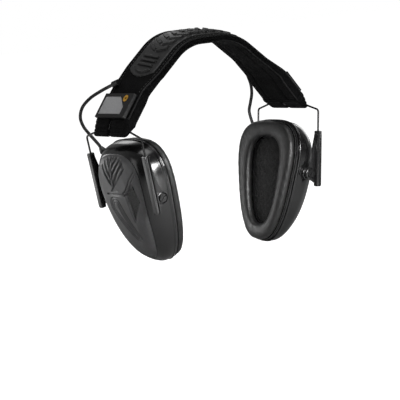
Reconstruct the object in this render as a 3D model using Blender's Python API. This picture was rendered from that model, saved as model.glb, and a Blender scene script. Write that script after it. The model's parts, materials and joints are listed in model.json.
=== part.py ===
"""Electronic earmuff hearing protector with a padded folding headband.

Frame: the origin is midway between the two cup pivots, +X runs from the wearer's right ear to the
left ear, the wearer faces -Y, +Z is up. Sizes below are in millimetres and become metres in piece().
"""

import bpy
import bmesh
from collections import namedtuple
from math import asin, copysign, cos, pi, radians, sin, tan
from mathutils import Vector

MM = 0.001
GAP = 0.3                      # clearance between neighbouring pieces

# Headband: outer line of the sleeve seen from the front, corners rounded by these radii
CROWN_HEIGHT = 125.8
BAND_CORNERS = [((25.3, 125.8), 44), ((71.5, 86.9), 35), ((89.6, 63.2), 20)]
BAND_END = (92.8, 53.0)
ARC_PIECES = 4
BAND_HALF_WIDTH = 24.0
BAND_CANT = 0.125              # rise per mm towards the rear at the crown
CANT_FULL = 62.0               # the cant is whole inside this distance along the band
CANT_NONE = 86.0               # and gone beyond this one
SLEEVE_CROWN = 6.2             # sleeve thickness at the crown
SLEEVE_ENDS = 9.0              # and at its two ends
THICKEN_FROM = 66.0            # the sleeve thickens between these distances along the band
THICKEN_TO = 92.0
SLEEVE_WALL = 1.0

SPRING_HALF_WIDTH = 9.0
SPRING_THICKNESS = 1.0
HINGE_DEPTH = 3.6              # fold axis below the sleeve's outer face
HINGE_INSET = 5.0              # fold axis above the band's end
HINGE_BLOCK_REACH = 11.5
HINGE_BLOCK_END = 3.2          # the blocks stop this far above the band's end
HINGE_BLOCK_HALF = 17.0

OVERLAY_HALF_LENGTH = 70.0
OVERLAY_HALF_WIDTH = 17.5
OVERLAY_THICKNESS = 1.8

# Raised patch on the band's straight stretch near each end
PATCH_HALF_WIDTH = 21.75
PATCH_HALF_LENGTH = 10.9
PATCH_REARWARD = 1.6           # the patch stands this far behind the band's middle
PATCH_TOWARDS_END = 0.9        # and this far beyond the stretch's middle
PATCH_HEIGHT = 3.2
PATCH_FACE_DEPTH = 1.0         # depth of the pocket that holds the grey face
PATCH_FRONT_RIM = 7.5
PATCH_REAR_RIM = 2.6
PATCH_END_RIM = 2.8
PATCH_CUT = (10.2, 9.4)         # the face's cut corner, across and along the band
EYELET_RADIUS = 3.0
EYELET_HOLE = 1.2
EYELET_FROM_CORNER = (9.6, 4.6)

# Yoke wire and slider arms
WIRE_RADIUS = 0.85
WIRE_SPREAD = 42.0             # legs stand this far in front of and behind the middle
WIRE_BEND = (89.0, 50.8)       # outward distance and height of the sharp bend
LEG_LEAN = radians(7.5)        # legs lean in towards the jaw
LEG_LENGTH = 46.0
BORE_RADIUS = 1.2
ARM_LENGTH = 47.0
ARM_RADIUS = 2.6
ARM_INNER_FACE = 39.0
ARM_EXPOSED = {"right": 14.3, "left": 17.8}    # wire showing above the arms
PIVOT_BELOW_TOP = 36.0
PIVOT_INWARD = 7.4             # pivot stands this far towards the head from the leg
PIVOT_RING = 5.2

# Cups: egg-shaped outline, local axes n outward, y rearward, w up, from the rim's middle
CUP_HALF_HEIGHT = 52.4
CUP_HALF_WIDTH = 35.0
CUP_TAPER = 0.33
CUP_SQUARENESS = 2.87
CUP_BELLY = 0.30
CUP_APEX = 10.0
CUP_LEAN = radians(12.5)
CUP_PIVOT = (11.2, 8.3)        # pivot axis: n and w
CUP_POINTS = 32
SHELL_PROFILE = [(0, 0), (8, 0.5), (14, 2.0), (18.5, 4.6), (20.6, 6.4), (20.6, 8.4), (23.4, 12), (24.4, 17),
                 (24.8, 30)]
LINER_PROFILE = [(0, 2.0), (8, 2.5), (13.5, 4.0), (17.5, 6.6), (20.6, 11), (22.2, 17), (22.6, 30)]
COVER_PROFILE = [(20.9, 6.6), (23.6, 9.4), (25.8, 13.2), (27.2, 18), (28.2, 30)]
COVER_LINING = [(20.9, 8.2), (23.8, 11.7), (24.8, 16.8), (25.2, 30)]
MIC_WINDOW = [(-24.5, 22.5), (-14.8, 15), (-16.0, -7.5), (-26.5, 8.5)]
MIC_AT = (0, -18.5, 9.0)
MIC_RADIUS = 2.8
MIC_HOLE = 3.2
CUSHION_THICKNESS = 7.7
CUSHION_OPENING = 15.0
PLATE_THICKNESS = 1.7

SPEAKER_RADIUS = 16.0
BATTERY_RADIUS = 5.25
BATTERY_LENGTH = 44.5
BATTERY_MIDDLE = (15.2, 8.3)   # n and w of the cells' middle
DOOR_HALF_WIDTH = 12.0
DOOR_BOTTOM = -15.0
DOOR_TOP = 31.6

# Volume dial on the right cup's lower rear wall
DIAL_AT = (7.0, 27.0, -30.0)
DIAL_SLOPE = radians(-28)
DIAL_RADIUS = 5.5
DIAL_DEPTH = 4.5
DIAL_TEETH = 16
DIAL_TOOTH = 0.25

# Lead from the headband to a cup: it leaves an arched strain relief on the band's outer face, over the
# rear edge, and its route goes on as outward distance, y and height
LEAD_RADIUS = 1.4
LEAD_BORE = LEAD_RADIUS + 0.45
LEAD_RISE = 2.2                # its middle above the band's outer face
LEAD_EXIT = ((79.3, 17.6), (81.6, 23.2))       # distance along the band and y, at the relief and past it
RELIEF_RADIUS = 2.7
RELIEF_BASE = 0.6
RELIEF_LENGTH = 4.6
RELIEF_BACK = 1.6
LEAD_ROUTE = [(71.2, 28.6, 89.4), (75.6, 35.8, 86.0), (81.5, 42.5, 81.3),
              (87.0, 47.0, 74.6), (88.8, 49.3, 66.5), (86.8, 49.8, 59.0), (83.4, 48.0, 52.4)]
BOOT_AT = (7.0, 33.5, 41.0)
BOOT_SLOPE = radians(52)
BOOT_LENGTH = 7.0
BOOT_STEM = 2.6
BOOT_TIP = 1.9

Frame = namedtuple("Frame", "origin a b c")


# ---------------------------------------------------------------- small tools

def clear_scene():
    for thing in list(bpy.data.objects):
        bpy.data.objects.remove(thing, do_unlink=True)


def material(name, colour, roughness, metallic=0.0):
    made = bpy.data.materials.new(name)
    made.use_nodes = True
    shader = made.node_tree.nodes["Principled BSDF"]
    shader.inputs["Base Color"].default_value = (*colour, 1.0)
    shader.inputs["Roughness"].default_value = roughness
    shader.inputs["Metallic"].default_value = metallic
    return made


def skin(rings, closed=False):
    """Vertices and faces of a body through rings that have equally many points."""
    count = len(rings[0])
    last = len(rings) - 1
    steps = [(k, k + 1) for k in range(last)]
    if closed:
        steps.append((last, 0))
    faces = [
        (a * count + i, a * count + (i + 1) % count, b * count + (i + 1) % count, b * count + i)
        for a, b in steps
        for i in range(count)
    ]
    points = [point for ring in rings for point in ring]
    if closed:
        return points, faces
    for first, ring in ((0, rings[0]), (last * count, rings[-1])):
        if count < 30:
            faces.append(tuple(first + i for i in range(count)))
            continue
        points.append(sum((Vector(p) for p in ring), Vector()) / count)
        faces += [(first + i, first + (i + 1) % count, len(points) - 1) for i in range(count)]
    return points, faces


def solid_data(name, shape, origin):
    verts, faces = shape
    data = bpy.data.meshes.new(name)
    data.from_pydata([Vector(v) * MM - origin for v in verts], [], faces)
    work = bmesh.new()
    work.from_mesh(data)
    bmesh.ops.recalc_face_normals(work, faces=work.faces)
    work.to_mesh(data)
    work.free()
    return data


def piece(name, shape, finish, hub=None):
    """One named piece of the object, turning with its hub when it has one."""
    origin = hub.location if hub else Vector()
    made = bpy.data.objects.new(name, solid_data(name, shape, origin))
    bpy.context.collection.objects.link(made)
    made.parent = hub
    made.data.materials.append(finish)
    made.data.shade_smooth()
    made.data.set_sharp_from_angle(angle=radians(35))
    return made


def carve(target, shape, operation="DIFFERENCE"):
    """Cut a shape out of a piece, join it on, or keep only what they share."""
    number = len(target.modifiers) + 1
    name = f"cut_{target.name}_{number}"
    tool = bpy.data.objects.new(name, solid_data(name, shape, Vector()))
    bpy.context.collection.objects.link(tool)
    tool.hide_render = True
    tool.display_type = "WIRE"
    change = target.modifiers.new(name, "BOOLEAN")
    change.operation = operation
    change.solver = "EXACT"
    change.object = tool
    return target


def hub(name, at):
    made = bpy.data.objects.new(name, None)
    made.location = Vector(at) * MM
    bpy.context.collection.objects.link(made)
    return made


def in_frame(frame, point):
    a, b, c = point
    return frame.origin + frame.a * a + frame.b * b + frame.c * c


def turned(frame, profile, sides=18, closed=False):
    """A body turned about the frame's a axis from (distance along it, radius) pairs."""
    rings = [
        [in_frame(frame, (along, radius * cos(2 * pi * k / sides), radius * sin(2 * pi * k / sides)))
         for k in range(sides)]
        for along, radius in profile
    ]
    return skin(rings, closed)


def prism(frame, outline, low, high):
    """An outline in the frame's b and c directions, drawn out along a."""
    return skin([[in_frame(frame, (level, b, c)) for b, c in outline] for level in (low, high)])


def rectangle(b_low, b_high, c_low, c_high):
    return [(b_low, c_low), (b_high, c_low), (b_high, c_high), (b_low, c_high)]


def rounded_rectangle(half_width, low, high, radius):
    """A rectangle from -half_width to half_width and low to high, with chamfered corners and two ribs."""
    w, r, rib = half_width, radius, SPRING_HALF_WIDTH
    return [(w, high - r), (w - r, high), (rib, high), (-rib, high), (r - w, high), (-w, high - r),
            (-w, low + r), (r - w, low), (-rib, low), (rib, low), (w - r, low), (w, low + r)]


def rounded_path(points, radii, pieces=4):
    """A path through points whose inner corners are arcs of the given radii."""
    path = [Vector(points[0])]
    for before, corner, after, radius in zip(points, points[1:], points[2:], radii):
        corner = Vector(corner)
        back = (Vector(before) - corner).normalized()
        ahead = (Vector(after) - corner).normalized()
        half = back.angle(ahead) / 2
        centre = corner + (back + ahead).normalized() * (radius / sin(half))
        start = corner + back * (radius / tan(half)) - centre
        end = corner + ahead * (radius / tan(half)) - centre
        start.normalize()
        end.normalize()
        path += [centre + start.slerp(end, k / pieces) * radius for k in range(pieces + 1)]
    return path + [Vector(points[-1])]


def smooth_route(points, spacing):
    """Points at an even spacing on a smooth curve through the route's own points."""
    route = [Vector(p) for p in points]
    ends = [route[0] * 2 - route[1]] + route + [route[-1] * 2 - route[-2]]
    fine = [
        0.5 * ((2 * q) + (r - p) * t + (2 * p - 5 * q + 4 * r - s) * t * t + (3 * q - p - 3 * r + s) * t ** 3)
        for p, q, r, s in zip(ends, ends[1:], ends[2:], ends[3:])
        for t in (k / 20 for k in range(20))
    ] + [route[-1]]
    lengths = [0.0]
    for a, b in zip(fine, fine[1:]):
        lengths.append(lengths[-1] + (b - a).length)
    count = max(2, round(lengths[-1] / spacing))
    chosen = []
    for k in range(count + 1):
        target = lengths[-1] * k / count
        i = min(range(len(lengths)), key=lambda j: abs(lengths[j] - target))
        chosen.append(fine[i])
    return chosen


def tube(name, path, radius, finish, hub=None, resolution=2):
    """A round wire or lead along a path."""
    data = bpy.data.curves.new(name, "CURVE")
    data.dimensions = "3D"
    data.bevel_depth = radius * MM
    data.bevel_resolution = resolution
    data.use_fill_caps = True
    line = data.splines.new("POLY")
    line.points.add(len(path) - 1)
    origin = hub.location if hub else Vector()
    for point, at in zip(line.points, path):
        point.co = (*(Vector(at) * MM - origin), 1.0)
    made = bpy.data.objects.new(name, data)
    made.parent = hub
    data.materials.append(finish)
    bpy.context.collection.objects.link(made)
    return made


# ---------------------------------------------------------------- headband

def band_line():
    """Half of the band's outer line, from the crown to the end, in X and Z."""
    corners = [(x, 0, z) for (x, z), _ in BAND_CORNERS]
    points = [(0, 0, CROWN_HEIGHT)] + corners + [(BAND_END[0], 0, BAND_END[1])]
    return rounded_path(points, [radius for _, radius in BAND_CORNERS], ARC_PIECES)


HALF_LINE = band_line()
HALF_STEPS = [(b - a).length for a, b in zip(HALF_LINE, HALF_LINE[1:])]
BAND_HALF_LENGTH = sum(HALF_STEPS)


def band_stops():
    """Distances along the half band at which its line has a point."""
    stops = [0.0]
    for step in HALF_STEPS:
        stops.append(stops[-1] + step)
    return stops


def ramp(value, low, high):
    return min(1.0, max(0.0, (value - low) / (high - low)))


def line_directions():
    """The line's direction at each of its points, from the steps on both sides."""
    steps = [(b - a).normalized() for a, b in zip(HALF_LINE, HALF_LINE[1:])]
    before = [Vector((1, 0, 0))] + steps
    after = steps + [steps[-1]]
    return [(p + q).normalized() for p, q in zip(before, after)]


HALF_DIRECTIONS = line_directions()


def band_at(s, y, h):
    """The point at distance s along the band from the crown, y across it and h above its outer face."""
    side = copysign(1.0, s)
    left = abs(s)
    k = 0
    while k < len(HALF_STEPS) - 1 and left > HALF_STEPS[k]:
        left -= HALF_STEPS[k]
        k += 1
    share = left / HALF_STEPS[k]
    spot = HALF_LINE[k].lerp(HALF_LINE[k + 1], share)
    along = HALF_DIRECTIONS[k].lerp(HALF_DIRECTIONS[k + 1], min(1.0, share)).normalized()
    outward = Vector((-along.z, 0, along.x))
    cant = BAND_CANT * y * (1 - ramp(abs(s), CANT_FULL, CANT_NONE))
    spot = spot + outward * h
    return Vector((side * spot.x, y, spot.z + cant))


def sleeve_thickness(s):
    return SLEEVE_CROWN + (SLEEVE_ENDS - SLEEVE_CROWN) * ramp(abs(s), THICKEN_FROM, THICKEN_TO)


def band_grid(longest=14.0):
    """Stations of the half band: its own points, the ends of its ramps, and no step longer than `longest`."""
    marks = sorted(band_stops() + [THICKEN_FROM, THICKEN_TO, CANT_FULL, CANT_NONE])
    grid = [0.0]
    for a, b in zip(marks, marks[1:]):
        twisted = CANT_FULL <= a < CANT_NONE
        count = max(1, round((b - a) / (longest / 3 if twisted else longest)))
        grid += [a + (b - a) * k / count for k in range(1, count + 1)]
    return grid


def band_stations(low, high):
    both = sorted({side * s for s in band_grid() for side in (1, -1)})
    return [low] + [s for s in both if low + 0.4 < s < high - 0.4] + [high]


def band_strip(low, high, section):
    """Rings of a strip that follows the band; section gives the (y, h) outline at a station."""
    return [[band_at(s, y, h) for y, h in section(s)] for s in band_stations(low, high)]


def hinge_point(side):
    """The fold axis inside one end of the band."""
    spot = band_at(side * (BAND_HALF_LENGTH - HINGE_INSET), 0, -HINGE_DEPTH)
    return Vector((spot.x, 0, spot.z))


def end_frame(side):
    """Frame at a band end: a along the band towards its end, b rearward, c out of the band's face."""
    inner = band_at(side * (BAND_HALF_LENGTH - 3), 0, 0)
    outer = band_at(side * BAND_HALF_LENGTH, 0, 0)
    along = (outer - inner).normalized()
    out = Vector((-along.z, 0, along.x)) * side
    return Frame(outer, along, Vector((0, 1, 0)), out)


def headband_sleeve(finish):
    reach = BAND_HALF_LENGTH

    def outside(s):
        return rounded_rectangle(BAND_HALF_WIDTH, -sleeve_thickness(s), 0, 1.6)

    def pocket(s):
        low = -sleeve_thickness(s) + SLEEVE_WALL
        return rounded_rectangle(BAND_HALF_WIDTH - 1.4, low, -SLEEVE_WALL, 0.5)

    rings = band_strip(-reach, reach, outside) + list(reversed(band_strip(-reach, reach, pocket)))
    sleeve = piece("headband_sleeve", skin(rings, closed=True), finish)
    for side in (-1, 1):
        frame = end_frame(side)
        slot = prism(Frame(frame.origin, frame.b, frame.a, frame.c),
                     rectangle(-HINGE_INSET - 3.2, 4, -HINGE_DEPTH - 2.4, -HINGE_DEPTH + 2.4), -30, 30)
        carve(sleeve, slot)


def spring_band(finish):
    reach = BAND_HALF_LENGTH - HINGE_BLOCK_REACH - 1.5

    def section(s):
        return rectangle(-SPRING_HALF_WIDTH, SPRING_HALF_WIDTH, -1.3 - SPRING_THICKNESS, -1.3)

    return piece("spring_band", skin(band_strip(-reach, reach, section)), finish)


def headband_pad(finish):
    reach = BAND_HALF_LENGTH - HINGE_BLOCK_REACH - 3.0

    def section(s):
        return rounded_rectangle(BAND_HALF_WIDTH - 2.2, -sleeve_thickness(s) + SLEEVE_WALL + GAP, -2.7, 0.6)

    return piece("headband_pad", skin(band_strip(-reach, reach, section)), finish)


def headband_overlay(finish):
    reach = OVERLAY_HALF_LENGTH

    def section(s):
        narrow = 1 - 0.35 * ramp(abs(s), reach - 9, reach) ** 2
        return rounded_rectangle(OVERLAY_HALF_WIDTH * narrow, GAP, GAP + OVERLAY_THICKNESS, 0.7)

    return piece("headband_overlay", skin(band_strip(-reach, reach, section)), finish)


def hinge_blocks(side, name, finish):
    """The two plastic halves that clamp the wire inside a band end."""
    frame = end_frame(side)
    low, high = -HINGE_BLOCK_REACH, -HINGE_BLOCK_END
    axis = Frame(hinge_point(side), Vector((0, 1, 0)), Vector((1, 0, 0)), Vector((0, 0, 1)))
    across = Frame(frame.origin, frame.b, frame.a, frame.c)
    half = HINGE_BLOCK_HALF
    groove = turned(axis, [(-30, BORE_RADIUS), (30, BORE_RADIUS)], sides=16)
    floor = -SLEEVE_ENDS + SLEEVE_WALL + GAP
    split = -HINGE_DEPTH - 0.1
    outline = [(low, split), (low, floor), (high - 2.8, floor + 1.1), (high, floor + 2.7), (high, split)]
    block = piece(f"{name}_hinge_block", prism(across, outline, -half, half), finish)
    foot, top = split + GAP, -SLEEVE_WALL - GAP - 0.1
    roof = [(low, foot), (low, top - 0.8), (low + 4.5, top), (high, top), (high, foot)]
    cap = piece(f"{name}_hinge_cap", prism(across, roof, -half, half), finish)
    carve(block, groove)
    carve(cap, groove)


def patch_middle():
    """Distance along the half band of the patch's middle, on the straight stretch near the band's end."""
    first = 2 * (ARC_PIECES + 1)
    stops = band_stops()
    return (stops[first] + stops[first + 1]) / 2 + PATCH_TOWARDS_END


def patch_frame_of(side):
    """Frame on the band's outer face at the patch's middle: a outward, b rearward, c to the band's end."""
    middle = patch_middle()
    spot = band_at(side * middle, PATCH_REARWARD, 0)
    ahead = (band_at(side * (middle + 1), PATCH_REARWARD, 0) - spot).normalized()
    out = Vector((-ahead.z, 0, ahead.x)) * side
    return Frame(spot, out, Vector((0, 1, 0)), ahead)


def patch(side, name, rubber, face_finish, brass):
    """The raised rectangular frame near a band end, its flat face and the small eyelet in it."""
    frame = patch_frame_of(side)
    w, l = PATCH_HALF_WIDTH, PATCH_HALF_LENGTH
    body = piece(f"{name}_patch_frame", prism(frame, rectangle(-w, w, -l, l), GAP, PATCH_HEIGHT), rubber)
    recess = PATCH_HEIGHT - PATCH_FACE_DEPTH
    above = PATCH_HEIGHT + 3

    def outline(inward):
        front, rear = -w + PATCH_FRONT_RIM + inward, w - PATCH_REAR_RIM - inward
        first, last = -l + PATCH_END_RIM + inward, l - PATCH_END_RIM - inward
        across, along = PATCH_CUT
        return [(front, first + along), (front + across, first), (rear, first), (rear, last), (front, last)]

    carve(body, prism(frame, outline(0), recess, above))
    piece(f"{name}_patch_face", prism(frame, outline(GAP), recess + GAP, PATCH_HEIGHT - 0.1), face_finish)
    across, along = EYELET_FROM_CORNER
    eyelet_at = Frame(in_frame(frame, (0, across - w, along - l)), frame.a, frame.b, frame.c)
    seat = EYELET_RADIUS + GAP
    carve(body, turned(eyelet_at, [(recess, seat), (above, seat)]))
    top = PATCH_HEIGHT + 0.2
    profile = [(recess + GAP, EYELET_RADIUS), (top, EYELET_RADIUS), (top, EYELET_HOLE),
               (recess + GAP, EYELET_HOLE)]
    piece(f"{name}_patch_eyelet", turned(eyelet_at, profile, sides=20, closed=True), brass)


def lead_exit(side):
    """Frame where the lead leaves its strain relief: a along the lead, c out of the band's face."""
    first, second = (band_at(side * s, y, LEAD_RISE) for s, y in LEAD_EXIT)
    s, y = LEAD_EXIT[0]
    out = (first - band_at(side * s, y, 0)).normalized()
    along = (second - first).normalized()
    across = out.cross(along).normalized()
    return Frame(first, along, across, along.cross(across))


def lead_points(side):
    """The lead's own points for one side, from the headband's strain relief to the cup's boot."""
    tip = cup_point(side, boot_point(BOOT_LENGTH + GAP))
    above = cup_point(side, boot_point(BOOT_LENGTH + 4.0))
    drop = Vector((0, 0, 0)) if side < 0 else slide_shift(side)
    share = 1 / len(LEAD_ROUTE)
    start = lead_exit(side)
    first = [in_frame(start, (distance, 0, 0)) for distance in (0, 3.0, 6.0)]
    route = [Vector((side * x, y, z)) + drop * (k * share) for k, (x, y, z) in enumerate(LEAD_ROUTE)]
    return first + route + [above, tip]


def lead_and_relief(side, name, rubber):
    start = lead_exit(side)
    foot = RELIEF_BASE - LEAD_RISE
    begin = asin(foot / RELIEF_RADIUS)
    angles = [begin + (pi - 2 * begin) * k / 12 for k in range(13)]
    arch = [(RELIEF_RADIUS * cos(angle), RELIEF_RADIUS * sin(angle)) for angle in angles]
    relief = piece(f"{name}_lead_grommet", prism(start, arch, -RELIEF_BACK, RELIEF_LENGTH), rubber)
    carve(relief, turned(start, [(-GAP, LEAD_BORE), (RELIEF_LENGTH + 2, LEAD_BORE)], sides=16))
    tube(f"{name}_lead", smooth_route(lead_points(side), 4.5), LEAD_RADIUS, rubber)


# ---------------------------------------------------------------- yokes and sliders

def leg_frame(side, y_side):
    """Frame of one wire leg at its bend: a down the leg, b rearward, c away from the head."""
    origin = Vector((side * WIRE_BEND[0], y_side * WIRE_SPREAD, WIRE_BEND[1]))
    down = Vector((-side * sin(LEG_LEAN), 0, -cos(LEG_LEAN)))
    out = Vector((side * cos(LEG_LEAN), 0, -sin(LEG_LEAN)))
    return Frame(origin, down, Vector((0, 1, 0)), out)


def slide_shift(side):
    """How much lower the left slider stands than the right one."""
    extra = ARM_EXPOSED["left"] - ARM_EXPOSED["right"] if side > 0 else 0
    return leg_frame(side, 1).a * extra


def yoke_wire(side, name, steel, hub):
    hinge = hinge_point(side)
    points = []
    for y_side in (-1, 1):
        frame = leg_frame(side, y_side)
        low = frame.origin + frame.a * LEG_LENGTH
        corner = Vector((hinge.x, y_side * (HINGE_BLOCK_HALF + 3), hinge.z))
        points.append([low, frame.origin, corner])
    front, rear = points
    path = rounded_path(front + rear[::-1], [2.6, 8, 8, 2.6])
    tube(f"{name}_yoke_wire", path, WIRE_RADIUS, steel, hub)


def slider_arm(side, name, y_side, plastic, hub):
    """A tubular channel over the wire leg, with a web out to the pivot ring."""
    frame = leg_frame(side, y_side)
    top = ARM_EXPOSED[name]
    bottom = top + ARM_LENGTH
    label = f"{name}_{'front' if y_side < 0 else 'rear'}_slider_arm"
    profile = [(bottom, ARM_RADIUS * 0.7), (bottom - 0.8, ARM_RADIUS), (top, ARM_RADIUS)]
    arm = piece(label, turned(frame, profile, sides=12), plastic, hub)
    pivot_down = top + PIVOT_BELOW_TOP
    near = ARM_INNER_FACE - WIRE_SPREAD
    plate = Frame(frame.origin, frame.b * y_side, frame.a, frame.c)
    web = [(top + 0.6, 0.9), (top + 2, -1.4), (pivot_down - 6, -PIVOT_INWARD - 2.0),
           (pivot_down + 4, -PIVOT_INWARD - 1.5), (bottom - 4, -1.6), (bottom - 1, 0.9)]
    carve(arm, prism(plate, web, near + 0.25, near + 2.2), "UNION")
    ring = Frame(in_frame(plate, (0, pivot_down, -PIVOT_INWARD)), plate.a, plate.b, plate.c)
    disc = [(near, PIVOT_RING), (near + 4.0, PIVOT_RING), (near + 4.4, PIVOT_RING - 0.5)]
    carve(arm, turned(ring, disc), "UNION")
    carve(arm, turned(ring, [(near - 1, 2.4 + GAP), (near + 2.4, 2.4 + GAP), (near + 2.4, 3.3 + GAP),
                             (near + 6, 3.3 + GAP)]))
    carve(arm, turned(frame, [(top - 5, BORE_RADIUS), (bottom - 2.5, BORE_RADIUS)], sides=12))


# ---------------------------------------------------------------- cups

def pivot_point(side):
    """The cup's tilt axis, as its point on the middle plane."""
    frame = leg_frame(side, 1)
    down = ARM_EXPOSED["left" if side > 0 else "right"] + PIVOT_BELOW_TOP
    spot = frame.origin + frame.a * down - frame.c * PIVOT_INWARD
    return Vector((spot.x, 0, spot.z))


def cup_frame(side):
    """Frame at the middle of the cup's rim: a outward, b rearward, c up the cup."""
    out = Vector((side * cos(CUP_LEAN), 0, -sin(CUP_LEAN)))
    up = Vector((side * sin(CUP_LEAN), 0, cos(CUP_LEAN)))
    origin = pivot_point(side) - out * CUP_PIVOT[0] - up * CUP_PIVOT[1]
    return Frame(origin, out, Vector((0, 1, 0)), up)


def cup_point(side, point):
    return in_frame(cup_frame(side), point)


def boot_point(distance):
    """The point on the lead boot's axis at a distance from the cup's wall."""
    n, y, w = BOOT_AT
    return n, y + distance * cos(BOOT_SLOPE), w + distance * sin(BOOT_SLOPE)


def egg(inset):
    """The cup's outline drawn in by an inset, as (y, w) points."""
    points = []
    for k in range(CUP_POINTS):
        angle = 2 * pi * (k + 0.5) / CUP_POINTS
        across, up = cos(angle), sin(angle)
        w = (CUP_HALF_HEIGHT - inset) * copysign(abs(up) ** (2 / CUP_SQUARENESS), up)
        y = (CUP_HALF_WIDTH - inset) * copysign(abs(across) ** (2 / CUP_SQUARENESS), across)
        points.append((y * (1 + CUP_TAPER * w / CUP_HALF_HEIGHT), w))
    return points


def cup_ring(side, level, inset, belly=CUP_BELLY):
    """A ring of the cup: level is its depth outward, which the belly lessens away from the apex."""
    frame = cup_frame(side)
    return [
        in_frame(frame, (level * (1 - belly * ((w - CUP_APEX) / CUP_HALF_HEIGHT) ** 2), y, w))
        for y, w in egg(inset)
    ]


def flat_ring(side, level, inset):
    return cup_ring(side, level, inset, belly=0.0)


def in_wall(side, at, slope):
    """Frame whose a axis leaves the cup's wall in the y-w plane at a slope."""
    frame = cup_frame(side)
    out = frame.b * cos(slope) + frame.c * sin(slope)
    return Frame(in_frame(frame, at), out, frame.a, frame.b * -sin(slope) + frame.c * cos(slope))


def pivot_frame(side, y_side):
    return Frame(pivot_point(side), Vector((0, y_side, 0)), Vector((1, 0, 0)), Vector((0, 0, 1)))


def microphone_frame(side):
    frame = cup_frame(side)
    return Frame(in_frame(frame, MIC_AT), frame.a, frame.b, frame.c)


def cup_shell(side, name, plastic, hub):
    outer = [cup_ring(side, level, inset) for level, inset in reversed(SHELL_PROFILE)]
    inner = [cup_ring(side, level, inset) for level, inset in LINER_PROFILE]
    shell = piece(f"{name}_cup_shell", skin(outer + inner), plastic, hub)
    for y_side in (-1, 1):
        seat = turned(pivot_frame(side, y_side), [(33.6, 7.4), (36.4, 7.0), (ARM_INNER_FACE - 0.5, 6.4)])
        carve(shell, seat, "UNION")
        carve(shell, turned(pivot_frame(side, y_side), [(28, 2.1 + GAP), (45, 2.1 + GAP)]))
    boot_hole = BOOT_STEM + GAP
    carve(shell, turned(in_wall(side, BOOT_AT, BOOT_SLOPE), [(-8, boot_hole), (12, boot_hole)], sides=16))
    if name == "right":
        carve(shell, turned(in_wall(side, DIAL_AT, DIAL_SLOPE), [(-9, 2.6), (12, 2.6)], sides=16))
    else:
        half = DOOR_HALF_WIDTH - 1.2
        opening = rectangle(-half, half, DOOR_BOTTOM + 2, DOOR_TOP - 1.5)
        carve(shell, prism(cup_frame(side), opening, 18, 30))
    carve(shell, turned(microphone_frame(side), [(10, MIC_HOLE), (30, MIC_HOLE)]))


def cover_shape(side):
    outer = [cup_ring(side, level, inset) for level, inset in reversed(COVER_PROFILE)]
    inner = [cup_ring(side, level, inset) for level, inset in COVER_LINING]
    return skin(outer + inner)


def cup_cover(side, name, rubber, hub):
    cover = piece(f"{name}_cup_cover", cover_shape(side), rubber, hub)
    frame = cup_frame(side)
    carve(cover, prism(frame, MIC_WINDOW, 15, 32))
    if name == "left":
        reach = DOOR_HALF_WIDTH + GAP
        carve(cover, prism(frame, rectangle(-reach, reach, DOOR_BOTTOM - 2.4, DOOR_TOP + GAP), 15, 32))


def pivot_screws(side, name, steel, hub):
    for y_side, place in ((-1, "front"), (1, "rear")):
        frame = pivot_frame(side, y_side)
        profile = [(31.5, 2.1), (ARM_INNER_FACE - 0.4, 2.1), (ARM_INNER_FACE - 0.4, 2.4), (41.7, 2.4),
                   (41.7, 3.3), (43.0, 3.3), (43.2, 3.1)]
        screw = piece(f"{name}_{place}_pivot_screw", turned(frame, profile, sides=20), steel, hub)
        carve(screw, prism(Frame(frame.origin, frame.a, (frame.b + frame.c).normalized(),
                                 (frame.c - frame.b).normalized()),
                           rectangle(-5, 5, -0.45, 0.45), 42.5, 45))


def cushion_and_plate(side, name, finishes, hub):
    opening = CUSHION_OPENING
    plate = [flat_ring(side, level, inset)
             for level, inset in ((-GAP, 0.9), (-GAP, opening), (-GAP - PLATE_THICKNESS, opening),
                                  (-GAP - PLATE_THICKNESS, 0.9))]
    piece(f"{name}_cushion_plate", skin(plate, closed=True), finishes["plastic"], hub)
    top = -2 * GAP - PLATE_THICKNESS
    low = top - CUSHION_THICKNESS
    ring = [(top, 1.6), (top - 2, 0.7), (low + 2.4, 0.9), (low, 3.6), (low, opening - 2.4),
            (low + 2.2, opening + 0.4), (top, opening + 0.8)]
    piece(f"{name}_ear_cushion", skin([flat_ring(side, *spot) for spot in ring], closed=True),
          finishes["leatherette"], hub)
    liner = [flat_ring(side, level, 4.9) for level in (1.2, 3.6)]
    piece(f"{name}_sound_foam", skin(liner), finishes["foam"], hub)


def speaker(side, name, finish, hub):
    frame = cup_frame(side)
    radius = SPEAKER_RADIUS
    profile = [(3.9, radius), (5.6, radius), (6.0, radius - 3), (8.0, radius - 7)]
    piece(f"{name}_speaker", turned(frame, profile, sides=28), finish, hub)


def microphone(side, name, dark, foam, hub):
    frame = cup_frame(side)
    capsule = [(15.5, MIC_RADIUS), (21.4, MIC_RADIUS)]
    piece(f"{name}_microphone", turned(microphone_frame(side), capsule, sides=16), dark, hub)
    middle = [sum(p[k] for p in MIC_WINDOW) / 4 for k in (0, 1)]
    shrunk = [(middle[0] + (y - middle[0]) * 0.90, middle[1] + (w - middle[1]) * 0.93) for y, w in MIC_WINDOW]
    rings = []
    for base in (COVER_LINING, COVER_PROFILE):
        rings.append([in_frame(frame, (window_level(base, y, w), y, w)) for y, w in shrunk])
    piece(f"{name}_mic_grille", skin(rings), foam, hub)


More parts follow.
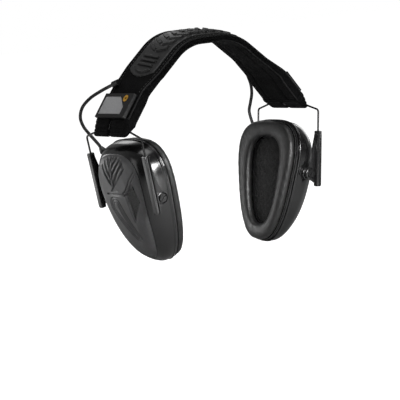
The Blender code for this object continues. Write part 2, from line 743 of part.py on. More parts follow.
def window_level(profile, y, w):
    """Depth of the grille under the cover at a point of the window: its foot or its sunken face."""
    belly = 1 - CUP_BELLY * ((w - CUP_APEX) / CUP_HALF_HEIGHT) ** 2
    inset = (CUP_HALF_WIDTH * (1 + CUP_TAPER * w / CUP_HALF_HEIGHT) - abs(y)) * 0.95
    levels = [(i, n) for n, i in profile]
    for (i0, n0), (i1, n1) in zip(levels, levels[1:]):
        if i0 <= inset <= i1:
            level = n0 + (n1 - n0) * (inset - i0) / (i1 - i0)
            break
    else:
        level = levels[-1][1] if inset > levels[-1][0] else levels[0][1]
    lift = 0.45 if profile is COVER_LINING else -1.1
    return (level + lift) * belly


def circuit_board(side, finish, hub):
    board = [flat_ring(side, level, 12.5) for level in (11.0, 12.4)]
    piece("right_circuit_board", skin(board), finish, hub)


def volume_dial(side, rubber, dial_hub):
    frame = in_wall(side, DIAL_AT, DIAL_SLOPE)
    levels = [(0.6, DIAL_RADIUS), (DIAL_DEPTH - 0.8, DIAL_RADIUS * 0.97), (DIAL_DEPTH, DIAL_RADIUS * 0.85)]
    rings = []
    for along, radius in levels:
        ring = []
        for k in range(2 * DIAL_TEETH):
            reach = radius + DIAL_TOOTH * (-1) ** k
            angle = pi * k / DIAL_TEETH
            ring.append(in_frame(frame, (along, reach * cos(angle), reach * sin(angle))))
        rings.append(ring)
    dial = piece("volume_dial", skin(rings), rubber, dial_hub)
    carve(dial, turned(frame, [(-6.5, 2.2), (2, 2.2)], sides=16), "UNION")
    mark = rectangle(2.0, DIAL_RADIUS + 2, -0.5, 0.5)
    carve(dial, prism(frame, mark, DIAL_DEPTH - 0.7, DIAL_DEPTH + 2))


def left_power(side, finishes, hub):
    """Battery tray with two AAA cells."""
    frame = cup_frame(side)
    n, w = BATTERY_MIDDLE
    half_long = BATTERY_LENGTH / 2
    wide = 2 * BATTERY_RADIUS + 0.5
    floor = n - BATTERY_RADIUS - 1.6
    wall = 1.2
    inner = rectangle(-wide, wide, w - half_long - 0.7, w + half_long + 0.7)
    outer = [(b + copysign(wall, b), c + copysign(wall, c - w)) for b, c in inner]
    tray = piece("left_battery_tray", prism(frame, outer, floor, n + 2.0), finishes["plastic"], hub)
    carve(tray, prism(frame, inner, floor + wall, n + 9))
    for number, y in ((1, -BATTERY_RADIUS - 0.2), (2, BATTERY_RADIUS + 0.2)):
        flip = 1 if number == 1 else -1
        cell = Frame(in_frame(frame, (n, y, w - flip * half_long)), frame.c * flip, frame.a, frame.b)
        radius, length, button = BATTERY_RADIUS, BATTERY_LENGTH, 1.9
        profile = [(0, radius - 0.4), (0.4, radius), (length - 1.6, radius), (length - 1.2, radius - 0.6),
                   (length - 1.1, button), (length, button)]
        piece(f"left_battery_{number}", turned(cell, profile, sides=20), finishes["cell"], hub)


def battery_door(side, rubber, door_hub):
    frame = cup_frame(side)
    door = piece("battery_door", cover_shape(side), rubber, door_hub)
    outline = rectangle(-DOOR_HALF_WIDTH, DOOR_HALF_WIDTH, DOOR_BOTTOM, DOOR_TOP)
    carve(door, prism(frame, outline, 15, 32), "INTERSECT")


def door_axis(side):
    """The hinge line along the battery door's lower edge, at the middle of the cover's thickness."""
    belly = 1 - CUP_BELLY * ((DOOR_BOTTOM - CUP_APEX) / CUP_HALF_HEIGHT) ** 2
    return cup_point(side, (26.4 * belly, 0, DOOR_BOTTOM + 0.8))


def lead_boot(side, name, rubber, hub):
    frame = in_wall(side, BOOT_AT, BOOT_SLOPE)
    profile = [(-5.5, BOOT_STEM), (2.4, BOOT_STEM), (2.4, 3.2), (3.2, 3.2), (BOOT_LENGTH, BOOT_TIP)]
    piece(f"{name}_lead_boot", turned(frame, profile, sides=16), rubber, hub)


# ---------------------------------------------------------------- assembly

def finishes():
    return {
        "fabric": material("black_fabric", (0.018, 0.018, 0.020), 0.95),
        "foam": material("dark_foam", (0.045, 0.045, 0.048), 0.95),
        "steel": material("black_steel", (0.05, 0.05, 0.052), 0.35, 1.0),
        "spring": material("spring_steel", (0.42, 0.42, 0.44), 0.35, 1.0),
        "plastic": material("black_plastic", (0.022, 0.022, 0.024), 0.32),
        "rubber": material("black_rubber", (0.030, 0.030, 0.032), 0.62),
        "patch": material("grey_patch", (0.235, 0.235, 0.235), 0.75),
        "brass": material("amber_brass", (0.62, 0.36, 0.05), 0.35, 1.0),
        "leatherette": material("black_leatherette", (0.020, 0.020, 0.022), 0.5),
        "board": material("circuit_board", (0.02, 0.12, 0.05), 0.5),
        "cell": material("battery_wrap", (0.30, 0.30, 0.32), 0.3, 0.6),
    }


def build():
    clear_scene()
    look = finishes()
    headband_sleeve(look["fabric"])
    spring_band(look["spring"])
    headband_pad(look["foam"])
    headband_overlay(look["rubber"])
    tilt_hubs = {}
    for side, name in ((-1, "right"), (1, "left")):
        hinge_blocks(side, name, look["plastic"])
        patch(side, name, look["rubber"], look["patch"], look["brass"])
        lead_and_relief(side, name, look["rubber"])
        fold_hub = hub(f"{name}_fold_axis", hinge_point(side))
        yoke_wire(side, name, look["steel"], fold_hub)
        cup_hub = hub(f"{name}_tilt_axis", pivot_point(side))
        for y_side in (-1, 1):
            slider_arm(side, name, y_side, look["plastic"], cup_hub)
        cup_shell(side, name, look["plastic"], cup_hub)
        cup_cover(side, name, look["rubber"], cup_hub)
        pivot_screws(side, name, look["steel"], cup_hub)
        cushion_and_plate(side, name, look, cup_hub)
        speaker(side, name, look["plastic"], cup_hub)
        microphone(side, name, look["plastic"], look["foam"], cup_hub)
        lead_boot(side, name, look["rubber"], cup_hub)
        tilt_hubs[name] = cup_hub
    circuit_board(-1, look["board"], tilt_hubs["right"])
    dial_hub = hub("volume_dial_axis", cup_point(-1, DIAL_AT))
    volume_dial(-1, look["rubber"], dial_hub)
    left_power(1, look, tilt_hubs["left"])
    door_hub = hub("battery_door_axis", door_axis(1))
    battery_door(1, look["rubber"], door_hub)


build()
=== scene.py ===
"""Looks of an electronic earmuff hearing protector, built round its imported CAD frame.

Shapes are worked out in millimetres in the frame's own axes (+X to the wearer's left, -Y ahead, +Z up)
and become metres in add_mesh(). Formulas for the band and the cups repeat those of the CAD part.
"""

import json
from math import cos, pi, radians, sin, sqrt, tan

import bmesh
import bpy
import numpy as np
from mathutils import Matrix, Vector

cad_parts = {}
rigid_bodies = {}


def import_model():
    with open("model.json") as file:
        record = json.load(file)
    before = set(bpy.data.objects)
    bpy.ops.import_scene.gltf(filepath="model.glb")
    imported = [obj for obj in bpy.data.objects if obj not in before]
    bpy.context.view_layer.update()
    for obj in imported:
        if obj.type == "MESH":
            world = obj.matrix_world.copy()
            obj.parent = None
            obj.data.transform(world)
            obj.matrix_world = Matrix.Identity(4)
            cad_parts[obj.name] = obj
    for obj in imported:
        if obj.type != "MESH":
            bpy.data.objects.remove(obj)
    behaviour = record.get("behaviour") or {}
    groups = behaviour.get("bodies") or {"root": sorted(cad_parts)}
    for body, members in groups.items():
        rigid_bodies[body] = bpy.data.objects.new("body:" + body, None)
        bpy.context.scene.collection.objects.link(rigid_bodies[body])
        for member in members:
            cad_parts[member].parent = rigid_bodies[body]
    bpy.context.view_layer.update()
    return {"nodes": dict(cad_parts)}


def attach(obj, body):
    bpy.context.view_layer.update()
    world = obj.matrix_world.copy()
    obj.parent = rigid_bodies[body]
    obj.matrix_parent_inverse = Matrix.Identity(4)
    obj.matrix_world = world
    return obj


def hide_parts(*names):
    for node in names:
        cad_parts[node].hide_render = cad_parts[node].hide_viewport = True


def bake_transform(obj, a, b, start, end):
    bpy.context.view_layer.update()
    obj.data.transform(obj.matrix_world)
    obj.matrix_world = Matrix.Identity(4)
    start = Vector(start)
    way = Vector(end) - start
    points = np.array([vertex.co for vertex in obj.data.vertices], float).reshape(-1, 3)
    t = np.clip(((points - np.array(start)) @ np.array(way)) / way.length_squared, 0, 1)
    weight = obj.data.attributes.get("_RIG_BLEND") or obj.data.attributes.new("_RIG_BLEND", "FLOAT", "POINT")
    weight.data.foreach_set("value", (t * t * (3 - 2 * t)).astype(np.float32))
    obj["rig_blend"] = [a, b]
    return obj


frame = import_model()
MM = 0.001
SIDES = ((-1, "right"), (1, "left"))


def linked(name, data):
    made = bpy.data.objects.new(name, data)
    bpy.context.scene.collection.objects.link(made)
    return made


# ---------------------------------------------------------------- camera

VIEW_TURN = radians(-34.0)
VIEW_RISE = radians(8.0)
VIEW_ROLL = radians(-5.8)
CAMERA_AT = (-0.68466, -0.99761, 0.15652)
LENS = 130.96
SENSOR_WIDTH = 36.0


def make_camera():
    back = Vector((sin(VIEW_TURN) * cos(VIEW_RISE), -cos(VIEW_TURN) * cos(VIEW_RISE), sin(VIEW_RISE)))
    level = Vector((cos(VIEW_TURN), sin(VIEW_TURN), 0))
    above = back.cross(level)
    right = level * cos(VIEW_ROLL) + above * sin(VIEW_ROLL)
    up = above * cos(VIEW_ROLL) - level * sin(VIEW_ROLL)
    data = bpy.data.cameras.new("camera")
    data.lens = LENS
    data.sensor_width = SENSOR_WIDTH
    data.clip_end = 20.0
    made = linked("camera", data)
    turn = Matrix((right, up, back)).transposed().to_4x4()
    made.matrix_world = Matrix.Translation(Vector(CAMERA_AT)) @ turn
    bpy.context.scene.camera = made


make_camera()

# ---------------------------------------------------------------- materials


class Nodes:
    """A small builder of one material's nodes, with its coordinates in millimetres."""

    def __init__(self, name, coords="Object"):
        self.material = bpy.data.materials.new(name)
        self.material.use_nodes = True
        self.tree = self.material.node_tree
        self.shader = self.tree.nodes["Principled BSDF"]
        source = self.tree.nodes.new("ShaderNodeTexCoord")
        scale = self.add("ShaderNodeVectorMath", operation="SCALE")
        scale.inputs["Scale"].default_value = 1.0 if coords == "UV" else 1000.0
        self.link(source.outputs[coords], scale.inputs[0])
        self.place = scale.outputs[0]
        self.normal = None

    def add(self, kind, **settings):
        node = self.tree.nodes.new(kind)
        for key, value in settings.items():
            setattr(node, key, value)
        return node

    def link(self, source, target):
        self.tree.links.new(source, target)

    def noise(self, size, detail=3.0, rough=0.5):
        node = self.add("ShaderNodeTexNoise")
        node.inputs["Scale"].default_value = 1.0 / size
        node.inputs["Detail"].default_value = detail
        node.inputs["Roughness"].default_value = rough
        self.link(self.place, node.inputs["Vector"])
        return node.outputs[0]

    def cells(self, size, feature="F1"):
        node = self.add("ShaderNodeTexVoronoi", feature=feature)
        node.inputs["Scale"].default_value = 1.0 / size
        self.link(self.place, node.inputs["Vector"])
        return node.outputs["Distance"]

    def bands(self, size, direction, twist=0.0):
        node = self.add("ShaderNodeTexWave", wave_type="BANDS", bands_direction=direction)
        node.inputs["Scale"].default_value = pi / (10.0 * size)
        node.inputs["Distortion"].default_value = twist
        self.link(self.place, node.inputs["Vector"])
        return node.outputs["Fac"]

    def join(self, a, b, operation="MULTIPLY"):
        node = self.add("ShaderNodeMath", operation=operation)
        self.link(a, node.inputs[0])
        self.link(b, node.inputs[1])
        return node.outputs[0]

    def spread(self, value, low, high, start=0.3, end=0.7):
        node = self.add("ShaderNodeMapRange")
        for key, number in (("From Min", start), ("From Max", end), ("To Min", low), ("To Max", high)):
            node.inputs[key].default_value = number
        self.link(value, node.inputs["Value"])
        return node.outputs[0]

    def colour(self, value, low, high, start=0.3, end=0.7):
        node = self.add("ShaderNodeValToRGB")
        ramp = node.color_ramp
        ramp.elements[0].position = start
        ramp.elements[1].position = end
        ramp.elements[0].color = (*low, 1.0)
        ramp.elements[1].color = (*high, 1.0)
        self.link(value, node.inputs[0])
        self.link(node.outputs[0], self.shader.inputs["Base Color"])

    def rough(self, value, low, high):
        self.link(self.spread(value, low, high), self.shader.inputs["Roughness"])

    def bump(self, value, height, strength=1.0):
        node = self.add("ShaderNodeBump")
        node.inputs["Distance"].default_value = height * MM
        node.inputs["Strength"].default_value = strength
        self.link(value, node.inputs["Height"])
        if self.normal:
            self.link(self.normal, node.inputs["Normal"])
        self.normal = node.outputs[0]
        self.link(self.normal, self.shader.inputs["Normal"])

    def set(self, **values):
        for key, value in values.items():
            self.shader.inputs[key.replace("_", " ")].default_value = value
        return self.material


def grey(value, tint=0.0):
    return (value, value, value * (1 + tint))


def woven(name, low, high, size=0.8, coords="UV"):
    m = Nodes(name, coords)
    weave = m.join(m.bands(size, "X", 0.6), m.bands(size, "Y", 0.6), "MAXIMUM")
    fuzz = m.noise(0.25, 4.0, 0.7)
    m.colour(m.join(m.noise(9.0), fuzz, "MULTIPLY"), grey(low, 0.05), grey(high, 0.05), 0.12, 0.42)
    m.bump(weave, 0.16, 0.8)
    m.bump(fuzz, 0.10, 0.6)
    m.rough(fuzz, 0.85, 1.0)
    return m.set(Sheen_Weight=0.02, Sheen_Roughness=0.45, Specular_IOR_Level=0.05)


def moulded(name, low, high, rough_low, rough_high, grain=0.3, depth=0.02, level=0.5):
    m = Nodes(name)
    smudge = m.noise(14.0, 4.0, 0.6)
    fine = m.noise(grain, 3.0, 0.6)
    m.colour(smudge, grey(low, 0.03), grey(high, 0.03))
    m.rough(m.join(smudge, m.noise(2.5, 2.0), "MULTIPLY"), rough_low, rough_high)
    m.bump(fine, depth, 0.7)
    return m.set(Specular_IOR_Level=level)


def make_finishes():
    made = {
        "fabric": woven("knitted_black_fabric", 0.0016, 0.0050),
        "binding": woven("ribbed_binding", 0.003, 0.008, 0.5),
        "overlay": moulded("overlay_rubber", 0.004, 0.009, 0.40, 0.58, 0.4, 0.03, 0.45),
        "rubber": moulded("face_rubber", 0.034, 0.048, 0.46, 0.60, 0.35, 0.03, 0.55),
        "frame_rubber": moulded("patch_rubber", 0.004, 0.008, 0.48, 0.62, 0.3, 0.02, 0.3),
        "lead": moulded("lead_rubber", 0.008, 0.015, 0.40, 0.55, 0.6, 0.02, 0.5),
        "gloss": moulded("gloss_plastic", 0.003, 0.006, 0.20, 0.30, 3.0, 0.012, 0.6),
        "piping": moulded("piping_vinyl", 0.004, 0.008, 0.50, 0.64, 0.5, 0.02, 0.2),
        "plastic": moulded("satin_plastic", 0.006, 0.011, 0.22, 0.34, 0.35, 0.015, 0.65),
        "wire": moulded("coated_steel", 0.005, 0.010, 0.24, 0.38, 0.5, 0.010, 0.4),
    }
    m = Nodes("grain_leatherette")
    m.bump(m.cells(0.9, "DISTANCE_TO_EDGE"), 0.12, 0.7)
    m.bump(m.noise(7.0), 0.35, 0.5)
    m.colour(m.noise(5.0), grey(0.006), grey(0.013))
    m.rough(m.noise(3.0), 0.36, 0.52)
    made["leather"] = m.set(Specular_IOR_Level=0.45)
    m = Nodes("open_cell_foam")
    # The pores sink pits into the foam's surface, and the same value paints those pits darker: the dark pits
    # are painted shade.
    pore_pits_and_shade = m.cells(0.7)
    m.bump(pore_pits_and_shade, 0.4, 0.9)
    m.colour(pore_pits_and_shade, grey(0.008), grey(0.035), 0.1, 0.6)
    made["foam"] = m.set(Roughness=0.95, Specular_IOR_Level=0.15)
    m = Nodes("microphone_mesh")
    m.bump(m.join(m.bands(0.9, "Y"), m.bands(0.9, "Z"), "MULTIPLY"), 0.3, 0.9)
    m.colour(m.cells(0.8), grey(0.018), grey(0.05), 0.1, 0.6)
    made["grille"] = m.set(Roughness=0.8, Specular_IOR_Level=0.3)
    m = Nodes("looped_grey_fabric")
    m.bump(m.cells(0.55), 0.25, 0.8)
    m.colour(m.noise(1.4, 5.0, 0.7), grey(0.29, 0.02), grey(0.37, 0.02))
    made["patch"] = m.set(Roughness=0.9, Specular_IOR_Level=0.2, Sheen_Weight=0.15)
    m = Nodes("amber_brass")
    m.colour(m.noise(0.9, 3.0), (0.58, 0.28, 0.015), (0.85, 0.46, 0.04))
    m.rough(m.noise(0.7), 0.22, 0.40)
    m.bump(m.noise(0.4), 0.03, 0.6)
    made["brass"] = m.set(Metallic=0.45)
    m = Nodes("brushed_spring_steel")
    m.bump(m.bands(0.12, "Y", 3.0), 0.01, 0.6)
    m.colour(m.noise(4.0), grey(0.34), grey(0.46))
    m.rough(m.noise(2.0), 0.25, 0.42)
    made["spring"] = m.set(Metallic=1.0)
    m = Nodes("solder_mask")
    m.colour(m.cells(3.2, "DISTANCE_TO_EDGE"), (0.012, 0.09, 0.035), (0.02, 0.14, 0.06), 0.02, 0.12)
    m.bump(m.noise(0.8), 0.05, 0.5)
    made["board"] = m.set(Roughness=0.35)
    m = Nodes("cell_wrap")
    m.colour(m.noise(6.0), grey(0.20), grey(0.30))
    m.rough(m.noise(1.5), 0.22, 0.36)
    m.bump(m.noise(0.5), 0.004, 0.4)
    made["cell"] = m.set(Metallic=0.3)
    m = Nodes("light_thread")
    m.colour(m.noise(0.6), grey(0.035), grey(0.075))
    m.bump(m.bands(0.35, "DIAGONAL"), 0.08, 0.8)
    made["thread"] = m.set(Roughness=0.75, Sheen_Weight=0.2)
    return made


FINISH = make_finishes()

# ---------------------------------------------------------------- mesh tools


def smoothstep(value, low, high):
    t = np.clip((np.asarray(value, float) - low) / (high - low), 0, 1)
    return t * t * (3 - 2 * t)


def wavy(x, y, seed=0.0):
    """Smooth unevenness between about -1 and 1, with no random draws."""
    first = np.sin(1.7 * x + 0.9 * np.sin(1.3 * y + seed) + seed)
    second = np.sin(2.3 * y - 1.1 * np.sin(0.9 * x - seed) + 2.1 * seed)
    return 0.5 * (first + second * np.sin(0.7 * x + 1.9 * y + seed))


def add_mesh(name, points, faces, finish, uv=None, sharp=40):
    """A piece from points in millimetres; uv gives a (u, v) in millimetres for each point."""
    data = bpy.data.meshes.new(name)
    data.from_pydata((np.asarray(points, float) * MM).tolist(), [], faces)
    if uv is not None:
        layer = data.uv_layers.new(name="UVMap")
        corner = np.zeros(len(data.loops), np.int32)
        data.loops.foreach_get("vertex_index", corner)
        layer.data.foreach_set("uv", np.asarray(uv, np.float32)[corner].ravel())
    work = bmesh.new()
    work.from_mesh(data)
    bmesh.ops.recalc_face_normals(work, faces=work.faces)
    work.to_mesh(data)
    work.free()
    data.materials.append(finish)
    data.shade_smooth()
    data.set_sharp_from_angle(angle=radians(sharp))
    return linked(name, data)


def settle(made):
    """Applies a piece's modifiers to its mesh."""
    bpy.context.view_layer.update()
    graph = bpy.context.evaluated_depsgraph_get()
    data = bpy.data.meshes.new_from_object(made.evaluated_get(graph))
    made.modifiers.clear()
    old = made.data
    made.data = data
    bpy.data.meshes.remove(old)
    return made


def quads(rows, columns, wrap_rows=False, wrap_columns=False):
    """Faces of a grid of points counted row by row."""
    faces = []
    for r in range(rows if wrap_rows else rows - 1):
        for c in range(columns if wrap_columns else columns - 1):
            r2, c2 = (r + 1) % rows, (c + 1) % columns
            faces.append((r * columns + c, r * columns + c2, r2 * columns + c2, r2 * columns + c))
    return faces


def grid_border(rows, columns):
    """Numbers of the points round the edge of such a grid, in order."""
    return ([c for c in range(columns)] + [r * columns + columns - 1 for r in range(1, rows)]
            + [(rows - 1) * columns + c for c in range(columns - 2, -1, -1)]
            + [r * columns for r in range(rows - 2, 0, -1)])


def slab(front, back):
    """Points and faces of a body between two equal grids of points."""
    rows, columns = front.shape[:2]
    faces = quads(rows, columns)
    border = grid_border(rows, columns)
    total = rows * columns
    faces = faces + [tuple(i + total for i in reversed(f)) for f in faces]
    faces += [(a, b, b + total, a + total) for a, b in zip(border, border[1:] + border[:1])]
    return np.concatenate([front.reshape(-1, 3), back.reshape(-1, 3)]), faces


def capped(rings, closed=False):
    """Points and faces of a body through equal rings, with a fan over each end."""
    rings = [np.asarray(r, float) for r in rings]
    rows, columns = len(rings), len(rings[0])
    points = np.concatenate(rings)
    faces = quads(rows, columns, closed, True)
    if closed:
        return points, faces
    ends = np.array([rings[0].mean(0), rings[-1].mean(0)])
    for start, centre in ((0, len(points)), ((rows - 1) * columns, len(points) + 1)):
        faces += [(start + c, start + (c + 1) % columns, centre) for c in range(columns)]
    return np.concatenate([points, ends]), faces


def merged(*shapes):
    """Several (points, faces) shapes as one."""
    points, faces, count = [], [], 0
    for p, f in shapes:
        points.append(p)
        faces += [tuple(i + count for i in face) for face in f]
        count += len(p)
    return np.concatenate(points), faces


def tube_rings(path, radius, sides=12, scale=None):
    """Rings round a path, carried along it without twisting."""
    path = np.asarray(path, float)
    steps = np.gradient(path, axis=0)
    steps /= np.linalg.norm(steps, axis=1)[:, None]
    side = np.cross(steps[0], (0.31, 0.52, 0.79))
    rings = []
    for k, (at, along) in enumerate(zip(path, steps)):
        side = side - along * (side @ along)
        side /= np.linalg.norm(side)
        other = np.cross(along, side)
        r = radius * (1 if scale is None else scale[k])
        rings.append([at + r * (side * cos(2 * pi * j / sides) + other * sin(2 * pi * j / sides))
                      for j in range(sides)])
    return rings


def run_of(path):
    """Distance along a path at each of its points."""
    return np.concatenate([[0], np.cumsum(np.linalg.norm(np.diff(path, axis=0), axis=1))])


def smoothed(values, width):
    kernel = np.hanning(width) / np.hanning(width).sum()
    return np.convolve(np.pad(values, width // 2, "edge"), kernel, "valid")


def finer(points, spacing):
    """Evenly spaced points on a smooth curve through the given ones."""
    p = np.asarray(points, float)
    p = np.vstack([2 * p[0] - p[1], p, 2 * p[-1] - p[-2]])
    t = np.linspace(0, 1, 24, endpoint=False)[:, None]
    curve = [0.5 * (2 * b + (c - a) * t + (2 * a - 5 * b + 4 * c - d) * t ** 2
                    + (3 * b - a - 3 * c + d) * t ** 3)
             for a, b, c, d in zip(p, p[1:], p[2:], p[3:])]
    curve = np.vstack(curve + [p[-2][None]])
    run = run_of(curve)
    even = np.linspace(0, run[-1], max(2, round(run[-1] / spacing)) + 1)
    return np.stack([np.interp(even, run, curve[:, k]) for k in range(3)], 1)


def own(made, body, slot, *nodes):
    """The piece rides on a body and stands for CAD nodes; slot is not used."""
    if made.parent is None and "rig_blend" not in made:
        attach(made, body)
    if nodes:
        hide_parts(*nodes)
    return made


# ---------------------------------------------------------------- the frame's own places

# Side views are pairs of x (or a distance outwards) and z; n, y and w are a cup's own directions: out of
# its face, across it and up it. Each number is the one that the CAD part uses for the same place.
WIRE_BEND = (89.0, 50.8)
WIRE_SPREAD = 42.0
LEG_LEAN = radians(7.5)
ARM_EXPOSED = {"right": 14.3, "left": 17.8}
ARM_LENGTH = 47.0
PIVOT_BELOW_TOP = 36.0
PIVOT_INWARD = 7.4
CUP_LEAN = radians(12.5)
CUP_PIVOT = (11.2, 8.3)
HALF_HEIGHT = 52.4
HALF_WIDTH = 35.0
TAPER = 0.33
SQUARENESS = 2.87
BELLY = 0.30
APEX = 10.0
BOOT_AT = (7.0, 33.5, 41.0)
BOOT_SLOPE = radians(52)
BOOT_LENGTH = 7.0


class Axes:
    """Three directions and an origin; at(a, b, c) gives points, for numbers or arrays."""

    def __init__(self, origin, a, b, c):
        self.origin = np.asarray(origin, float)
        self.a, self.b, self.c = (np.asarray(v, float) for v in (a, b, c))

    def at(self, a, b, c):
        a, b, c = (np.asarray(v, float)[..., None] for v in (a, b, c))
        return self.origin + self.a * a + self.b * b + self.c * c


def leg_axes(side, ahead):
    return Axes((side * WIRE_BEND[0], ahead * WIRE_SPREAD, WIRE_BEND[1]),
                (-side * sin(LEG_LEAN), 0, -cos(LEG_LEAN)), (0, 1, 0),
                (side * cos(LEG_LEAN), 0, -sin(LEG_LEAN)))


def pivot_point(side, name):
    spot = leg_axes(side, 1).at(ARM_EXPOSED[name] + PIVOT_BELOW_TOP, 0, -PIVOT_INWARD)
    return np.array((spot[0], 0, spot[2]))


def cup_axes(side, name):
    out = np.array((side * cos(CUP_LEAN), 0, -sin(CUP_LEAN)))
    up = np.array((side * sin(CUP_LEAN), 0, cos(CUP_LEAN)))
    origin = pivot_point(side, name) - out * CUP_PIVOT[0] - up * CUP_PIVOT[1]
    return Axes(origin, out, (0, 1, 0), up)


def egg(inset, count):
    """The cup's outline drawn in by an inset: arrays of y and w."""
    angle = 2 * pi * (np.arange(count) + 0.5) / count
    across, up = np.cos(angle), np.sin(angle)
    w = (HALF_HEIGHT - inset) * np.sign(up) * np.abs(up) ** (2 / SQUARENESS)
    y = (HALF_WIDTH - inset) * np.sign(across) * np.abs(across) ** (2 / SQUARENESS)
    return y * (1 + TAPER * w / HALF_HEIGHT), w


def belly_at(w, amount=BELLY):
    return 1 - amount * ((w - APEX) / HALF_HEIGHT) ** 2


def cup_ring(axes, level, inset, count, amount=BELLY):
    y, w = egg(inset, count)
    return axes.at(level * belly_at(w, amount), y, w)


# ---------------------------------------------------------------- headband

CROWN = 125.8
CORNERS = [((25.3, 125.8), 44), ((71.5, 86.9), 35), ((89.6, 63.2), 20)]
BAND_END = (92.8, 53.0)
HALF_BAND = 24.0
RUN_ON = 12


def band_table():
    """Half of the band's outer line, as even distances with their x and z, run on straight past its end."""
    points = [Vector((0, CROWN))] + [Vector(c) for c, _ in CORNERS] + [Vector(BAND_END)]
    path = [points[0]]
    for before, corner, after, (_, radius) in zip(points, points[1:], points[2:], CORNERS):
        back = (before - corner).normalized()
        ahead = (after - corner).normalized()
        half = back.angle(ahead) / 2
        centre = corner + (back + ahead).normalized() * (radius / sin(half))
        start = corner + back * (radius / tan(half)) - centre
        end = corner + ahead * (radius / tan(half)) - centre
        turn = start.angle_signed(end)
        path += [centre + Matrix.Rotation(-turn * k / 24, 2) @ start for k in range(25)]
    path.append(points[-1])
    path.append(points[-1] + (points[-1] - points[-2]).normalized() * RUN_ON)
    path = np.array([tuple(p) for p in path])
    run = run_of(path)
    even = np.arange(0, run[-1], 0.25)
    x, z = np.interp(even, run, path[:, 0]), np.interp(even, run, path[:, 1])
    dx, dz = (smoothed(np.gradient(line), 25) for line in (x, z))
    size = np.hypot(dx, dz)
    return even, x, z, dx / size, dz / size, run[-1] - RUN_ON


BAND_S, BAND_X, BAND_Z, BAND_DX, BAND_DZ, BAND_REACH = band_table()


def band_at(s, y, h):
    """Points at distance s along the band from the crown, y across it and h above its outer face."""
    s, y, h = np.broadcast_arrays(*(np.asarray(v, float) for v in (s, y, h)))
    side, u = np.where(s < 0, -1.0, 1.0), np.abs(s)
    x, z, dx, dz = (np.interp(u, BAND_S, column) for column in (BAND_X, BAND_Z, BAND_DX, BAND_DZ))
    cant = 0.125 * y * (1 - np.clip((u - 62) / 24, 0, 1))
    return np.stack([side * (x - dz * h), y, z + dx * h + cant], -1)


def sleeve_thickness(s):
    return 6.2 + 2.8 * np.clip((np.abs(s) - 66) / 26, 0, 1)


def ring_of_section(half_width, low, high, count, radius):
    """A rectangle with rounded corners, as even points: arrays of y and h."""
    angle = np.linspace(0, pi / 2, 13)
    middle_y, low_h, high_h = half_width - radius, low + radius, high - radius
    corners = ((middle_y, high_h, 0), (-middle_y, high_h, 1), (-middle_y, low_h, 2), (middle_y, low_h, 3))
    y = np.concatenate([cy + radius * np.cos(angle + k * pi / 2) for cy, _, k in corners])
    h = np.concatenate([ch + radius * np.sin(angle + k * pi / 2) for _, ch, k in corners])
    y, h = np.append(y, y[0]), np.append(h, h[0])
    run = np.concatenate([[0], np.cumsum(np.hypot(np.diff(y), np.diff(h)))])
    even = np.linspace(0, run[-1], count, endpoint=False)
    return np.interp(even, run, y), np.interp(even, run, h)


def skin(name, rings, coords, finish):
    """A capped body through rings, with a (u, v) for each of their points."""
    uv = np.concatenate(coords + [coords[0][:1], coords[-1][:1]])
    return add_mesh(name, *capped(rings), finish, uv)


def band_body(name, stations, section, finish):
    """A strip along the band; section(s) gives the y and h of its outline at a station."""
    rings, coords = [], []
    for s in stations:
        y, h = section(s)
        rings.append(band_at(s, y, h))
        around = np.concatenate([[0], np.cumsum(np.hypot(np.diff(y), np.diff(h)))])
        coords.append(np.stack([np.full(len(y), s), around], 1))
    return skin(name, rings, coords, finish)


SLEEVE_FROM_END = 9.5
EDGING_FROM_END = 11.0
CHANNEL_AT = 13.0


def make_sleeve():
    """The fabric sleeve over its pad, with a sewn channel each side of the middle on the inner face."""
    reach = BAND_REACH - SLEEVE_FROM_END

    def section(s):
        thick = float(sleeve_thickness(s))
        y, h = ring_of_section(HALF_BAND, -thick, 0, 110, 2.4)
        pad = 1 - np.abs(y / HALF_BAND) ** 3
        outer = h > -thick / 2
        under = 0.35 * pad * (1 + 0.5 * wavy(s / 6.5, y / 5.0, 1.3))
        channel = 0.8 * np.exp(-((np.abs(y) - CHANNEL_AT) / 1.1) ** 2)
        over = 0.10 * wavy(s / 5.0, y / 4.0, 2.2) * smoothstep(abs(s), 68, 74)
        return y, h + np.where(outer, over, channel * pad - under)

    stations = np.linspace(-reach, reach, 320)
    sleeve = band_body("headband_fabric", stations, section, FINISH["fabric"])
    own(sleeve, "headband", "black_fabric", "headband_sleeve", "headband_pad")


def make_edges():
    """Ribbed tape over the rear edge, and two fine pipings along the front edge."""
    reach = BAND_REACH - EDGING_FROM_END
    turn = np.linspace(0, 2 * pi, 17)[:-1]

    def tape(s):
        thick = float(sleeve_thickness(s))
        rib = 0.16 * sin(2 * pi * s / 1.15)
        y, h = ring_of_section(1.7 + rib, 0.7 - thick, 0.35 + rib, 20, 1.2)
        return y + HALF_BAND - 1.25, h

    own(band_body("headband_binding", np.arange(-reach, reach, 0.2875), tape, FINISH["binding"]),
        "headband", "black_fabric")
    pipings = (("upper", -HALF_BAND + 0.9, 0.0, 0.62), ("lower", -HALF_BAND + 0.35, 1.0, 0.5))
    for label, y0, share, radius in pipings:
        def piping(s, y0=y0, share=share, radius=radius):
            level = -0.55 - share * (float(sleeve_thickness(s)) - 1.5)
            return y0 + radius * np.cos(turn), level + radius * np.sin(turn)

        own(band_body(f"headband_piping_{label}", np.linspace(-reach, reach, 300), piping, FINISH["piping"]),
            "headband", "black_fabric")


PATCH_AT = 100.3
PATCH_CLEAR = 12.5
STITCH_PITCH = 3.0
STITCH_REACH = 110
STITCH_LENGTH = 2.1
STITCH_RADIUS = 0.2
STITCH_RISE = 0.12


